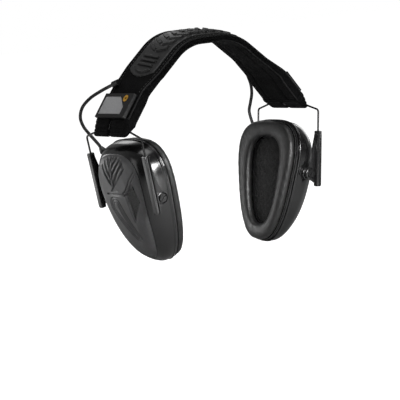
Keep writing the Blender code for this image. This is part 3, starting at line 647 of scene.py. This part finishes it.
def stitches(name, y):
    """A row of short rounded threads along the band at y, with none under the patches."""
    shapes = []
    along = np.linspace(-0.5, 0.5, 5)
    rise = STITCH_RISE - 0.5 * STITCH_RADIUS * (2 * along) ** 4 * 4
    for s in np.arange(-STITCH_REACH, STITCH_REACH + 0.1, STITCH_PITCH):
        if abs(abs(s) - PATCH_AT) > PATCH_CLEAR:
            path = band_at(s + along * STITCH_LENGTH, np.full(5, y), rise)
            shapes.append(capped(tube_rings(path, STITCH_RADIUS, 6, [0.45, 0.9, 1, 0.9, 0.45])))
    own(add_mesh(name, *merged(*shapes), FINISH["thread"]), "headband", "black_fabric")


def bar(s, y, s0, y0, half_s, half_y, slant):
    """Signed distance to a slanted bar, in millimetres."""
    return np.maximum(np.abs(s - s0 - slant * (y - y0)) - half_s, np.abs(y - y0) - half_y)


TREAD_PITCH = 7.8
TREAD_BAR = (6.9, 1.7, 5.6, 0.42)          # middle's y, half width, half length, slant
CROSS_BARS = ((48.4, 10.5), (53.0, 11.0), (57.6, 10.5))
CROSS_BAR_HALF = 1.1
END_ARC = (65.2, 0.7, 11.5)                # distance from the crown, half width, reach each way
OVERLAY_HALF_WIDTH = 17.3
OVERLAY_REACH = 69.6
OVERLAY_SINK = -0.5
TREAD_HEIGHT = 1.55


def overlay_relief(s, y):
    """Height of the overlay's raised tread, from 0 to 1: a herringbone, cross bars and an arc at each end."""
    u = np.abs(s)
    raised = np.full(u.shape, 9.0)
    middle_y, half, reach, slant = TREAD_BAR
    for k in range(-5, 6):
        raised = np.minimum(raised, bar(s, y, TREAD_PITCH * k, middle_y, half, reach, slant))
        raised = np.minimum(raised, bar(s, y, TREAD_PITCH * k, -middle_y, half, reach, -slant))
    for middle, reach in CROSS_BARS:
        raised = np.minimum(raised, np.maximum(np.abs(u - middle) - CROSS_BAR_HALF, np.abs(y) - reach))
    middle, half, reach = END_ARC
    arc = middle - 4.6 * (y / 13.0) ** 2
    raised = np.minimum(raised, np.maximum(np.abs(u - arc) - half, np.abs(y) - reach))
    return 1 - smoothstep(raised, -0.22, 0.22)


def make_overlay():
    """The moulded rubber overlay, with a rounded edge and its tread."""
    rows, columns = ((560, 84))
    across = np.linspace(-1, 1, columns)
    y = OVERLAY_HALF_WIDTH * np.sign(across) * np.abs(across) ** 0.94
    end = OVERLAY_REACH - 6.0 * (y / OVERLAY_HALF_WIDTH) ** 2
    share = np.linspace(-1, 1, rows)[:, None]
    s, y = share * end[None, :], np.broadcast_to(y, (rows, columns))
    edge = np.minimum(OVERLAY_HALF_WIDTH - np.abs(y), end[None, :] - np.abs(s))
    slope = np.clip(edge / 0.9, 0, 1)
    dome = 0.7 * np.sqrt(slope * (2 - slope))
    h = 0.1 + dome + TREAD_HEIGHT * overlay_relief(s, y) * smoothstep(edge, 0.2, 1.2)
    shape = slab(band_at(s, y, h), band_at(s, y, np.full(s.shape, OVERLAY_SINK)))
    own(add_mesh("headband_relief", *shape, FINISH["overlay"]),
        "headband", "black_rubber", "headband_overlay")


LOBE_DEPTHS = [(-1.0, 2.8), (1.3, 4.3), (3.8, 6.0), (6.8, 8.0), (9.2, 9.4), (12.8, 9.5)]
LOBE_CREASES = ((9.4, 0.40, 0.8), (5.3, 0.60, 0.7), (2.5, 0.40, 0.5))
LOBE_MIDDLE = 12.3
LOBE_HALF = 12.0
LOBE_SPAN = (6.9, 7.9)                     # its middle and half length, from the band's end
SLIT_FROM_END = 4.0
SLIT_LENGTH = 10


def lobe_section(left, nose, ahead, seed):
    """One lobe's outline as y and h at a distance from the band's end; nose rounds it, from 0 to 1."""
    depth = float(np.interp(left, *np.array(LOBE_DEPTHS).T))
    half = LOBE_HALF - 3.2 * (1 - nose)
    draw = 0.42 * depth * (1 - nose)
    low, high = draw - depth, 0.7 - draw
    y, h = ring_of_section(half, low, high, 72, min(2.6, 0.48 * (high - low)))
    outer = smoothstep(h, (low + high) / 2, high)
    crease = sum(deep * np.exp(-((left - at) / wide) ** 2) for at, deep, wide in LOBE_CREASES)
    puff = 0.45 * (1 - (y / half) ** 4) + 0.14 * wavy(left / 1.6, y / 3.0 + ahead, seed)
    return y + ahead * LOBE_MIDDLE, h + outer * nose * (puff - crease)


def make_lobes():
    """Two rolled fabric lobes at each end of the band, thinning towards it, with a slit between them."""
    for side, name in SIDES:
        for ahead, place in ((-1, "front"), (1, "rear")):
            rings, coords = [], []
            for t in np.sin(np.linspace(-pi / 2, pi / 2, 64)):
                left = LOBE_SPAN[0] - LOBE_SPAN[1] * t
                tip, root = max(0.0, (1.8 - left) / 2.8), max(0.0, (left - 13.4) / 1.4)
                nose = sqrt(max(0.0004, 1 - tip ** 2 - root ** 2))
                y, h = lobe_section(left, nose, ahead, side + 2.0)
                rings.append(band_at(side * (BAND_REACH - left), y, h))
                coords.append(np.stack([np.full(len(y), left), np.linspace(0, 62, len(y))], 1))
            lobe = skin(f"{name}_sleeve_{place}_lobe", rings, coords, FINISH["fabric"])
            own(lobe, "headband", "black_fabric", "headband_sleeve")
        far = BAND_REACH - SLIT_FROM_END
        backing = [band_at(side * s, *ring_of_section(2.2, -1.1, -0.6, 24, 0.2))
                   for s in np.linspace(far - SLIT_LENGTH, far, 8)]
        own(add_mesh(f"{name}_slit_backing", *capped(backing), FINISH["fabric"]), "headband", "black_fabric")
        stations = np.linspace(far - 8, far - 0.5, 16)
        path = band_at(side * stations, np.linspace(-0.2, 0.7, 16), np.full(16, 0.35))
        own(add_mesh(f"{name}_slit_edge", *capped(tube_rings(path, 0.2, 8)), FINISH["thread"]),
            "headband", "black_fabric")


make_sleeve()
make_edges()
make_overlay()
make_lobes()
for PLACE, ROW_AT in (("front", -20.6), ("rear", 20.2)):
    stitches(f"headband_{PLACE}_stitches", ROW_AT)

# ---------------------------------------------------------------- leads, the object's cords

LEAD_RADIUS = 1.4
LEAD_RISE = 2.2
LEAD_EXIT = ((79.3, 17.6), (81.6, 23.2))
LEAD_ROUTE = [(71.2, 28.6, 89.4), (75.6, 35.8, 86.0), (81.5, 42.5, 81.3),
              (87.0, 47.0, 74.6), (88.8, 49.3, 66.5), (86.8, 49.8, 59.0), (83.4, 48.0, 52.4)]
LEAD_SPACING = 1.25
DECLARED_STRETCH = 30.6        # length of each of a lead's first two stretches, in millimetres


def lead_route(side, name):
    axes = cup_axes(side, name)
    n, y, w = BOOT_AT
    ends = [axes.at(n, y + d * cos(BOOT_SLOPE), w + d * sin(BOOT_SLOPE))
            for d in (BOOT_LENGTH + 4.0, BOOT_LENGTH + 0.3)]
    extra = ARM_EXPOSED[name] - ARM_EXPOSED["right"]
    drop = leg_axes(side, 1).a * extra
    (s0, y0), (s1, y1) = LEAD_EXIT
    leave = band_at(side * s0, y0, LEAD_RISE)
    along = band_at(side * s1, y1, LEAD_RISE) - leave
    along = along / np.linalg.norm(along)
    start = [leave + along * distance for distance in (0, 3.0, 6.0)]
    share = 1 / len(LEAD_ROUTE)
    route = [np.array((side * x, y, z)) + drop * (k * share) for k, (x, y, z) in enumerate(LEAD_ROUTE)]
    return finer(start + route + ends, LEAD_SPACING)


def make_leads():
    """Each lead in three stretches, as it crosses the fold, the slide and the tilt one after another."""
    for side, name in SIDES:
        path = lead_route(side, name)
        run = run_of(path)
        first = int(np.searchsorted(run, DECLARED_STRETCH))
        second = int(np.searchsorted(run, run[first] + DECLARED_STRETCH))
        spans = (("upper", 0, first, "headband", f"{name}_yoke"),
                 ("middle", first, second, f"{name}_yoke", f"{name}_slider"),
                 ("lower", second, len(path) - 1, f"{name}_slider", f"{name}_cup"))
        made = {}
        rings = tube_rings(path, LEAD_RADIUS, 14)
        for label, a, b, body_a, body_b in spans:
            stretch = add_mesh(f"{name}_lead_{label}", *capped(rings[a:b + 1]), FINISH["lead"])
            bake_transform(stretch, body_a, body_b, start=path[a] * MM, end=path[b] * MM)
            own(stretch, body_a, "black_rubber", f"{name}_lead")
            made[label] = (stretch, path[a:b + 1] * MM)
        for label, extras in (("upper", [f"{name}_lead_grommet"]),
                              ("middle", [f"{name}_lead_lower", f"{name}_lead_boot"])):
            stretch, line = made[label]


make_leads()

# ---------------------------------------------------------------- cups

# Profiles round a cup are pairs of a level out along its axis and an inset from its outline. COVER_LEVELS
# has them the other way round, and SEAT_PROFILE has distances and radii about the pivots' axis.
SHELL_PATH = [(0.6, 2.2), (0.0, 1.2), (0.0, 0.1), (0.5, -0.3), (1.3, -0.3), (1.8, 0.15), (2.2, 0.45),
              (4.0, 0.4), (8.0, 0.6), (11.5, 1.15), (14.5, 2.2), (17.0, 3.6), (19.0, 5.0), (20.3, 6.4),
              (20.7, 7.6), (20.6, 9.0)]
SHELL_BACK = [(23.2, 12.0), (24.2, 17.0), (24.6, 30.0)]
SHELL_LINER = [(22.6, 30), (22.2, 17), (20.6, 11), (17.5, 6.6), (13.5, 4.0), (8.0, 2.6), (0.6, 2.4)]
SEAT_PROFILE = [(31.0, 6.4), (35.4, 6.0), (37.2, 5.5), (38.3, 5.3), (38.6, 5.0), (38.6, 3.0), (31.0, 3.0)]
COVER_INSET = 6.6
COVER_LEVELS = [(0.0, 19.6), (6.5, 20.5), (7.6, 22.1), (9.4, 23.7), (13.2, 25.8), (18.0, 27.2), (30.0, 28.2),
                (36.0, 28.3)]
COVER_BACK = [(20.9, 8.2), (23.8, 11.7), (24.8, 16.8), (25.2, 30.0)]
CARVE_SPAN = (10, 40)
MIC_WINDOW = [(-24.5, 22.5), (-14.8, 15), (-16.0, -7.5), (-26.5, 8.5)]
DOOR = (-12.0, 12.0, -15.0, 31.6)          # its y, then its w
DOOR_GAP = 0.3
HINGE_GAP = 2.4
SWEEP = [(-12.5, 15.6), (-17.0, 18.4), (-20.4, 22.4), (-23.8, 28.0), (-28.5, 33.6), (-34, 38)]
LOOP_ENDS = ((3.6, 4.6), (-9.8, -22.5))


def fine_profile(points, step=0.6):
    flat = np.array([(a, b, 0.0) for a, b in points])
    return finer(flat, step)[:, :2]


def inset_of(y, w):
    """How far inside the cup's outline a point lies, found by halving."""
    low, high = np.zeros_like(y), np.full_like(y, HALF_WIDTH - 0.02)
    wide = 1 + TAPER * w / HALF_HEIGHT
    for _ in range(22):
        middle = (low + high) / 2
        size = (np.abs(y / ((HALF_WIDTH - middle) * wide)) ** SQUARENESS
                + np.abs(w / (HALF_HEIGHT - middle)) ** SQUARENESS)
        low, high = np.where(size < 1, middle, low), np.where(size < 1, high, middle)
    return (low + high) / 2


def egg_grid(count, inset):
    """A square grid of points pressed into the cup's outline."""
    line = np.linspace(-1, 1, count)
    u, v = np.meshgrid(line, line)
    size = (np.abs(u) ** SQUARENESS + np.abs(v) ** SQUARENESS) ** (1 / SQUARENESS)
    scale = np.maximum(np.abs(u), np.abs(v)) / np.maximum(size, 1e-9)
    w = (HALF_HEIGHT - inset) * v * scale
    y = (HALF_WIDTH - inset) * u * scale * (1 + TAPER * w / HALF_HEIGHT)
    return y, w


def to_line(y, w, a, b):
    """Distance from points to the straight piece between a and b, and the nearest spot's share of it."""
    ay, aw = a
    dy, dw = b[0] - ay, b[1] - aw
    t = np.clip(((y - ay) * dy + (w - aw) * dw) / (dy * dy + dw * dw), 0, 1)
    return np.hypot(y - ay - t * dy, w - aw - t * dw), t


def to_path(y, w, points):
    return np.minimum.reduce([to_line(y, w, a, b)[0] for a, b in zip(points, points[1:])])


def groove(distance, width, depth, soft=0.3):
    return -depth * (1 - smoothstep(distance, width / 2 - soft, width / 2 + soft))


def face_relief(y, w):
    """Moulded relief of a cup's face: a ribbed upper field, slot, sweeping grooves and nested long loops."""
    field = ((y / 20.5) ** 2 + ((w - 27.5) / 19.5) ** 2) ** 0.5
    inside = (1 - smoothstep(field, 0.90, 0.97)) * smoothstep(w - 0.85 * np.abs(y), 19.8, 20.8)
    phase = np.mod(w - 1.25 * np.abs(y) + 40.0, 7.2) / 7.2
    ribs = smoothstep(np.abs(phase - 0.5), 0.20, 0.30)
    spine = 1 - smoothstep(np.abs(y), 0.55, 0.95)
    cut = 1 - smoothstep(np.abs(np.abs(y) - 1.5), 0.25, 0.6)
    relief = inside * (1.5 * np.maximum(ribs * (1 - cut), spine) - 0.75)
    triangle = np.maximum(17.4 - w, (w - 21.6) + 0.78 * np.abs(y))
    relief = relief - 1.1 * (1 - smoothstep(triangle, -0.4, 0.3))
    relief = relief + groove(to_line(y, w, (-12.5, 15.0), (12.0, 15.0))[0], 1.5, 1.1)
    relief = relief + groove(np.abs(to_path(y, w, SWEEP) - 1.15), 1.0, 1.1, 0.25)
    outline = to_path(y, w, MIC_WINDOW + MIC_WINDOW[:1])
    relief = relief + groove(outline - 0.6, 1.4, 0.6, 0.35)
    distance, share = to_line(y, w, *LOOP_ENDS)
    loop = distance - (7.9 - 4.2 * share)
    for level, deep in ((0.0, 0.85), (-2.3, 0.7), (-4.6, 0.6)):
        relief = relief + groove(np.abs(loop - level), 0.8, deep, 0.3)
    return relief


def cover_shape(axes, count):
    """A cup's rubber cover: its domed face with the relief, and a lip that goes back under the rim."""
    y, w = egg_grid(count, COVER_INSET)
    table = np.array(COVER_LEVELS)
    fine = np.arange(0, 36.01, 0.1)
    level = smoothed(np.interp(fine, table[:, 0], table[:, 1]), 31)
    inset = inset_of(y, w)
    depth = np.interp(inset, fine, level) * belly_at(w)
    relief = face_relief(y, w) * smoothstep(inset, 7.4, 9.6)
    front = axes.at(depth + relief, y, w).reshape(-1, 3)
    border = grid_border(count, count)
    faces = quads(count, count)
    flat_y, flat_w = y.reshape(-1)[border], w.reshape(-1)[border]
    wide = 1 + TAPER * flat_w / HALF_HEIGHT
    unit_y = flat_y / wide / (HALF_WIDTH - COVER_INSET)
    unit_w = flat_w / (HALF_HEIGHT - COVER_INSET)
    points, ring = [front], [border]
    total = len(front)
    for lvl, ins in COVER_BACK:
        w2 = (HALF_HEIGHT - ins) * unit_w
        y2 = (HALF_WIDTH - ins) * unit_y * (1 + TAPER * w2 / HALF_HEIGHT)
        points.append(axes.at(lvl * belly_at(w2), y2, w2))
        ring.append(list(range(total, total + len(border))))
        total += len(border)
    for a, b in zip(ring, ring[1:]):
        faces += [(a[k], a[(k + 1) % len(a)], b[(k + 1) % len(a)], b[k]) for k in range(len(a))]
    points.append(points[-1].mean(0)[None])
    last = ring[-1]
    faces += [(last[k], last[(k + 1) % len(last)], total) for k in range(len(last))]
    return np.concatenate(points), faces


def prism(axes, outline, low, high):
    return capped([axes.at(level, *np.array(outline, float).T) for level in (low, high)])


def carve(target, shape, operation="DIFFERENCE"):
    tool = add_mesh("tool", *shape, FINISH["plastic"])
    change = target.modifiers.new("cut", "BOOLEAN")
    change.operation = operation
    change.solver = "EXACT"
    change.object = tool
    settle(target)
    bpy.data.objects.remove(tool)
    return target


def rectangle(y0, y1, w0, w1):
    return [(y0, w0), (y1, w0), (y1, w1), (y0, w1)]


def turned(axes, profile, sides=40, closed=False):
    """A body turned about the a direction, from (distance, radius) pairs."""
    angle = 2 * pi * np.arange(sides) / sides
    return capped([axes.at(d, r * np.cos(angle), r * np.sin(angle)) for d, r in profile], closed)


def pivot_axes(side, name, ahead):
    return Axes(pivot_point(side, name), (0, ahead, 0), (1, 0, 0), (0, 0, 1))


def make_cup(side, name):
    axes = cup_axes(side, name)
    cup, count = f"{name}_cup", 160
    wall = [cup_ring(axes, level, inset, count) for level, inset in fine_profile(SHELL_PATH)]
    wall += [cup_ring(axes, level, inset, count) for level, inset in SHELL_BACK + SHELL_LINER]
    seats = [turned(pivot_axes(side, name, ahead), SEAT_PROFILE, 56, True) for ahead in (-1, 1)]
    own(add_mesh(f"{name}_shell", *merged(capped(wall, True), *seats), FINISH["gloss"], sharp=55),
        cup, "black_plastic", f"{name}_cup_shell")
    grid = 230
    cover = add_mesh(f"{name}_face", *cover_shape(axes, grid), FINISH["rubber"], sharp=70)
    if name == "left":
        y0, y1, w0, w1 = DOOR
        door = cover.copy()
        door.data = cover.data.copy()
        door.name = "battery_lid"
        bpy.context.scene.collection.objects.link(door)
        carve(door, prism(axes, rectangle(*DOOR), *CARVE_SPAN), "INTERSECT")
        hole = rectangle(y0 - DOOR_GAP, y1 + DOOR_GAP, w0 - HINGE_GAP, w1 + DOOR_GAP)
        carve(cover, prism(axes, hole, *CARVE_SPAN))
        own(door, "battery_door", "black_rubber", "battery_door")
    carve(cover, prism(axes, MIC_WINDOW, *CARVE_SPAN))
    own(cover, cup, "black_rubber", f"{name}_cup_cover")


FOAM_INSET = 4.9
FOAM_BACK = 3.5
DIMPLE_PITCH = 6.0


def make_foam(side, name):
    """Acoustic foam behind the ear opening, with rows of soft dimples."""
    axes, count = cup_axes(side, name), 90
    y, w = egg_grid(count, FOAM_INSET)
    dimples = 0.45 * np.sin(2 * pi * y / DIMPLE_PITCH) * np.sin(2 * pi * w / DIMPLE_PITCH)
    edge = smoothstep(inset_of(y, w), FOAM_INSET, 8.0)
    front = axes.at(1.8 - 0.9 * edge + dimples * edge, y, w)
    back = axes.at(np.full(y.shape, FOAM_BACK), y, w)
    foam = add_mesh(f"{name}_inner_foam", *slab(front, back), FINISH["foam"])
    own(foam, f"{name}_cup", "dark_foam", f"{name}_sound_foam")


CUSHION_SECTION = [(-2.4, 9.0), (-2.4, 3.2), (-2.9, 1.9), (-4.2, 1.2), (-6.6, 1.1), (-8.6, 1.8),
                   (-9.5, 3.6), (-9.9, 6.5), (-9.9, 9.8), (-9.4, 12.6), (-8.2, 14.3), (-6.0, 15.0),
                   (-3.6, 14.8), (-2.5, 13.0)]
PRESS_LIMIT = 0.7
PRESS_VOXEL = 1.7
CLOTH_FRAMES = 20


def inflate(made, limit, voxel):
    """A pressed-out padded skin by cloth simulation, no point moving further than the limit."""
    remesh = made.modifiers.new("voxels", "REMESH")
    remesh.mode = "VOXEL"
    remesh.voxel_size = voxel * MM
    settle(made)
    start = np.zeros(len(made.data.vertices) * 3)
    made.data.vertices.foreach_get("co", start)
    cloth = made.modifiers.new("cloth", "CLOTH")
    cloth.settings.use_pressure = True
    cloth.settings.uniform_pressure_force = 4.0
    cloth.settings.effector_weights.gravity = 0.0
    cloth.settings.tension_stiffness = 8.0
    cloth.settings.compression_stiffness = 8.0
    cloth.settings.bending_stiffness = 0.2
    cloth.settings.quality = 6
    scene = bpy.context.scene
    for number in range(1, CLOTH_FRAMES + 1):
        scene.frame_set(number)
    settle(made)
    scene.frame_set(1)
    end = np.zeros(len(made.data.vertices) * 3)
    made.data.vertices.foreach_get("co", end)
    move = (end - start).reshape(-1, 3)
    size = np.linalg.norm(move, axis=1)[:, None]
    move *= np.minimum(1, limit * MM / np.maximum(size, 1e-9))
    made.data.vertices.foreach_set("co", (start.reshape(-1, 3) + move).ravel())
    soften = made.modifiers.new("soften", "SMOOTH")
    soften.iterations = 3
    soften.factor = 0.5
    finer_mesh = made.modifiers.new("finer", "SUBSURF")
    finer_mesh.levels = 1
    finer_mesh.render_levels = 1
    settle(made)
    made.data.shade_smooth()
    return made


def make_cushion(side, name):
    """The leatherette ear pad with its soft unevenness, and the seam round its back."""
    axes, count = cup_axes(side, name), 150
    section = fine_profile(CUSHION_SECTION + CUSHION_SECTION[:1], 1.1)[:-1]
    rings = []
    for level, inset in section:
        y, w = egg(inset, count)
        angle = np.arctan2(w, y)
        soft = 0.22 * wavy(angle * 7.0, level * 0.8, 0.4 + side)
        rings.append(axes.at(np.full(count, level) + 0.5 * soft * (level > -9), y, w))
    cushion = add_mesh(f"{name}_ear_pad", *capped(rings, True), FINISH["leather"], sharp=80)
    inflate(cushion, PRESS_LIMIT, PRESS_VOXEL)
    own(cushion, f"{name}_cup", "black_leatherette", f"{name}_ear_cushion")
    seam = cup_ring(axes, -3.3, 0.95, 200, 0.0)
    loop = np.concatenate([seam, seam[:1]])
    own(add_mesh(f"{name}_pad_seam", *capped(tube_rings(loop, 0.42, 8)[:-1], True), FINISH["leather"]),
        f"{name}_cup", "black_leatherette")


for SIDE, NAME in SIDES:
    make_cup(SIDE, NAME)
    make_foam(SIDE, NAME)
    make_cushion(SIDE, NAME)

# ---------------------------------------------------------------- slider arms


CHANNEL_HALF = [(-2.4, -2.0), (-1.9, -2.35), (1.5, -2.5), (2.2, -2.4), (2.6, -2.05), (2.65, -1.5),
                (2.4, -1.15), (1.8, -1.0), (1.1, -0.9), (0.95, -0.45)]
WEB_FACE = 39.0


def make_arm(side, name, ahead):
    """A channel that runs on the wire leg, with two raised lips, and a web out to the pivot ring."""
    leg = leg_axes(side, ahead)
    place = "front" if ahead < 0 else "rear"
    top = ARM_EXPOSED[name]
    bottom = top + ARM_LENGTH
    across = Axes(leg.origin, leg.a, leg.b * ahead, leg.c)
    b, c = np.array(CHANNEL_HALF + [(b, -c) for b, c in reversed(CHANNEL_HALF)]).T
    ends = ((top, 0.90), (top + 0.35, 0.97), (top + 0.8, 1.0), (bottom - 1.6, 1.0), (bottom - 0.7, 0.93),
            (bottom, 0.78))
    rings = [across.at(d, b * scale, c * scale) for d, scale in ends]
    arm = add_mesh(f"{name}_{place}_arm", *capped(rings), FINISH["plastic"], sharp=28)
    pivot = top + PIVOT_BELOW_TOP
    face = Axes(leg.origin, leg.b * ahead, leg.a, leg.c)
    web = [(top + 1.2, 0.9), (top + 3.0, -1.8), (pivot - 12.0, -PIVOT_INWARD + 1.0),
           (pivot - 5.5, -PIVOT_INWARD - 1.8), (pivot + 4.4, -PIVOT_INWARD - 1.2),
           (bottom - 3.0, -1.8), (bottom - 1.2, 0.9)]
    near = WEB_FACE - WIRE_SPREAD
    carve(arm, prism(face, web, near + 0.25, near + 2.0), "UNION")
    ring_axes = Axes(face.at(0, pivot, -PIVOT_INWARD), face.a, face.b, face.c)
    profile = [(near, 5.0), (near + 3.1, 5.0), (near + 3.6, 4.75), (near + 3.8, 4.3), (near + 3.4, 4.05),
               (near + 2.4, 3.75), (near + 2.4, 2.7), (near, 2.7)]
    carve(arm, turned(ring_axes, [(near - 0.4, 4.4), (near + 5, 4.4)], 48))
    carve(arm, turned(ring_axes, profile, 64, True), "UNION")
    arm.data.set_sharp_from_angle(angle=radians(30))
    own(arm, f"{name}_slider", "black_plastic", f"{name}_{place}_slider_arm")


for SIDE, NAME in SIDES:
    for AHEAD in (-1, 1):
        make_arm(SIDE, NAME, AHEAD)

# ---------------------------------------------------------------- CAD nodes that stay

KEPT = {
    "spring_band": "spring", "volume_dial": "rubber", "right_circuit_board": "board",
    "left_battery_1": "cell", "left_battery_2": "cell", "left_battery_tray": "plastic",
}
KEPT_BOTH = {
    "cushion_plate": "plastic", "front_pivot_screw": "wire", "rear_pivot_screw": "wire",
    "hinge_block": "plastic", "hinge_cap": "plastic", "lead_boot": "lead", "lead_grommet": "lead",
    "mic_grille": "grille", "microphone": "plastic", "patch_eyelet": "brass", "patch_face": "patch",
    "patch_frame": "frame_rubber", "speaker": "plastic", "yoke_wire": "wire",
}
BEVELLED = ("patch_frame", "pivot_screw", "cushion_plate", "volume_dial")
BEVEL_WIDTH = 0.22


def dress_kept():
    """Gives the CAD nodes that show their materials, and softens the edges of the moulded ones."""
    looks = dict(KEPT)
    for _, name in SIDES:
        looks.update({f"{name}_{node}": look for node, look in KEPT_BOTH.items()})
    for node, look in looks.items():
        shown = frame["nodes"][node]
        shown.data.materials.clear()
        shown.data.materials.append(FINISH[look])
        if node.endswith(BEVELLED):
            edge = shown.modifiers.new("edge", "BEVEL")
            edge.width = BEVEL_WIDTH * MM
            edge.segments = 2
            edge.limit_method = "ANGLE"
            edge.angle_limit = radians(40)


dress_kept()

# ---------------------------------------------------------------- studio

FLOOR_AT = -0.0590
FLOOR_HALF = 6.0
FLOOR_TONE = 0.3
# name, place, what it points at, width, height (all in metres), and watts
SOFTBOXES = (
    ("top", (-0.15, -0.05, 0.95), (0, 0, 0), 0.8, 0.6, 4.2),
    ("rear", (0.33, 0.80, 0.46), (-0.06, 0, 0.03), 0.30, 0.22, 0.4),
    ("front_strip", (0.10, -0.95, 0.22), (-0.06, 0, 0.02), 0.16, 0.5, 1.6),
    ("back", (1.1, 0.40, 0.30), (0, 0, 0.02), 0.7, 0.5, 3.2),
    ("left", (-1.1, 0.2, 0.25), (-0.05, 0, 0.02), 0.5, 0.9, 1.6),
    ("front_floor", (-0.02, -0.42, 0.10), (-0.02, -0.42, -0.06), 0.14, 0.42, 7),
    ("rear_floor", (-0.30, 0.34, 0.07), (-0.30, 0.34, -0.06), 0.35, 0.35, 3),
)
PHOTO_SIDE = (-0.5538, -0.8210, 0.1392)    # direction from the object towards the photo's camera
WORLD_SHADE = (("From Min", -0.35), ("From Max", 0.45), ("To Min", 0.26), ("To Max", 0.06))


def softbox(name, at, aim, width, height, power):
    data = bpy.data.lights.new(name, "AREA")
    data.shape = "RECTANGLE"
    data.size = width
    data.size_y = height
    data.energy = power
    made = linked(name, data)
    made.location = at
    made.rotation_euler = (Vector(aim) - Vector(at)).to_track_quat("-Z", "Y").to_euler()


def make_studio():
    """A floor and background that are white to the camera, softboxes, and a world lit from behind."""
    data = bpy.data.meshes.new("floor")
    corners = ((-1, -1), (1, -1), (1, 1), (-1, 1))
    data.from_pydata([(x * FLOOR_HALF, y * FLOOR_HALF, FLOOR_AT) for x, y in corners], [], [(0, 1, 2, 3)])
    floor = linked("floor", data)
    m = Nodes("pale_floor")
    m.colour(m.noise(60.0), grey(FLOOR_TONE), grey(FLOOR_TONE * 1.05))
    seen = m.add("ShaderNodeLightPath")
    m.link(seen.outputs["Is Camera Ray"], m.shader.inputs["Emission Strength"])
    data.materials.append(m.set(Roughness=0.9, Specular_IOR_Level=0.1, Emission_Color=(1, 1, 1, 1)))
    for light in SOFTBOXES:
        softbox(*light)
    world = bpy.data.worlds.new("studio")
    world.use_nodes = True
    bpy.context.scene.world = world
    tree = world.node_tree
    tree.nodes.clear()
    place = tree.nodes.new("ShaderNodeTexCoord")
    facing = tree.nodes.new("ShaderNodeVectorMath")
    facing.operation = "DOT_PRODUCT"
    facing.inputs[1].default_value = PHOTO_SIDE
    shade = tree.nodes.new("ShaderNodeMapRange")
    for key, value in WORLD_SHADE:
        shade.inputs[key].default_value = value
    path = tree.nodes.new("ShaderNodeLightPath")
    pick = tree.nodes.new("ShaderNodeMix")
    pick.inputs["B"].default_value = 1.0
    light = tree.nodes.new("ShaderNodeBackground")
    light.inputs["Color"].default_value = (1, 1, 1, 1)
    out = tree.nodes.new("ShaderNodeOutputWorld")
    tree.links.new(place.outputs["Generated"], facing.inputs[0])
    tree.links.new(facing.outputs["Value"], shade.inputs["Value"])
    tree.links.new(path.outputs["Is Camera Ray"], pick.inputs["Factor"])
    tree.links.new(shade.outputs[0], pick.inputs["A"])
    tree.links.new(pick.outputs["Result"], light.inputs["Strength"])
    tree.links.new(light.outputs[0], out.inputs[0])
    bpy.context.scene.view_settings.view_transform = "Standard"


make_studio()
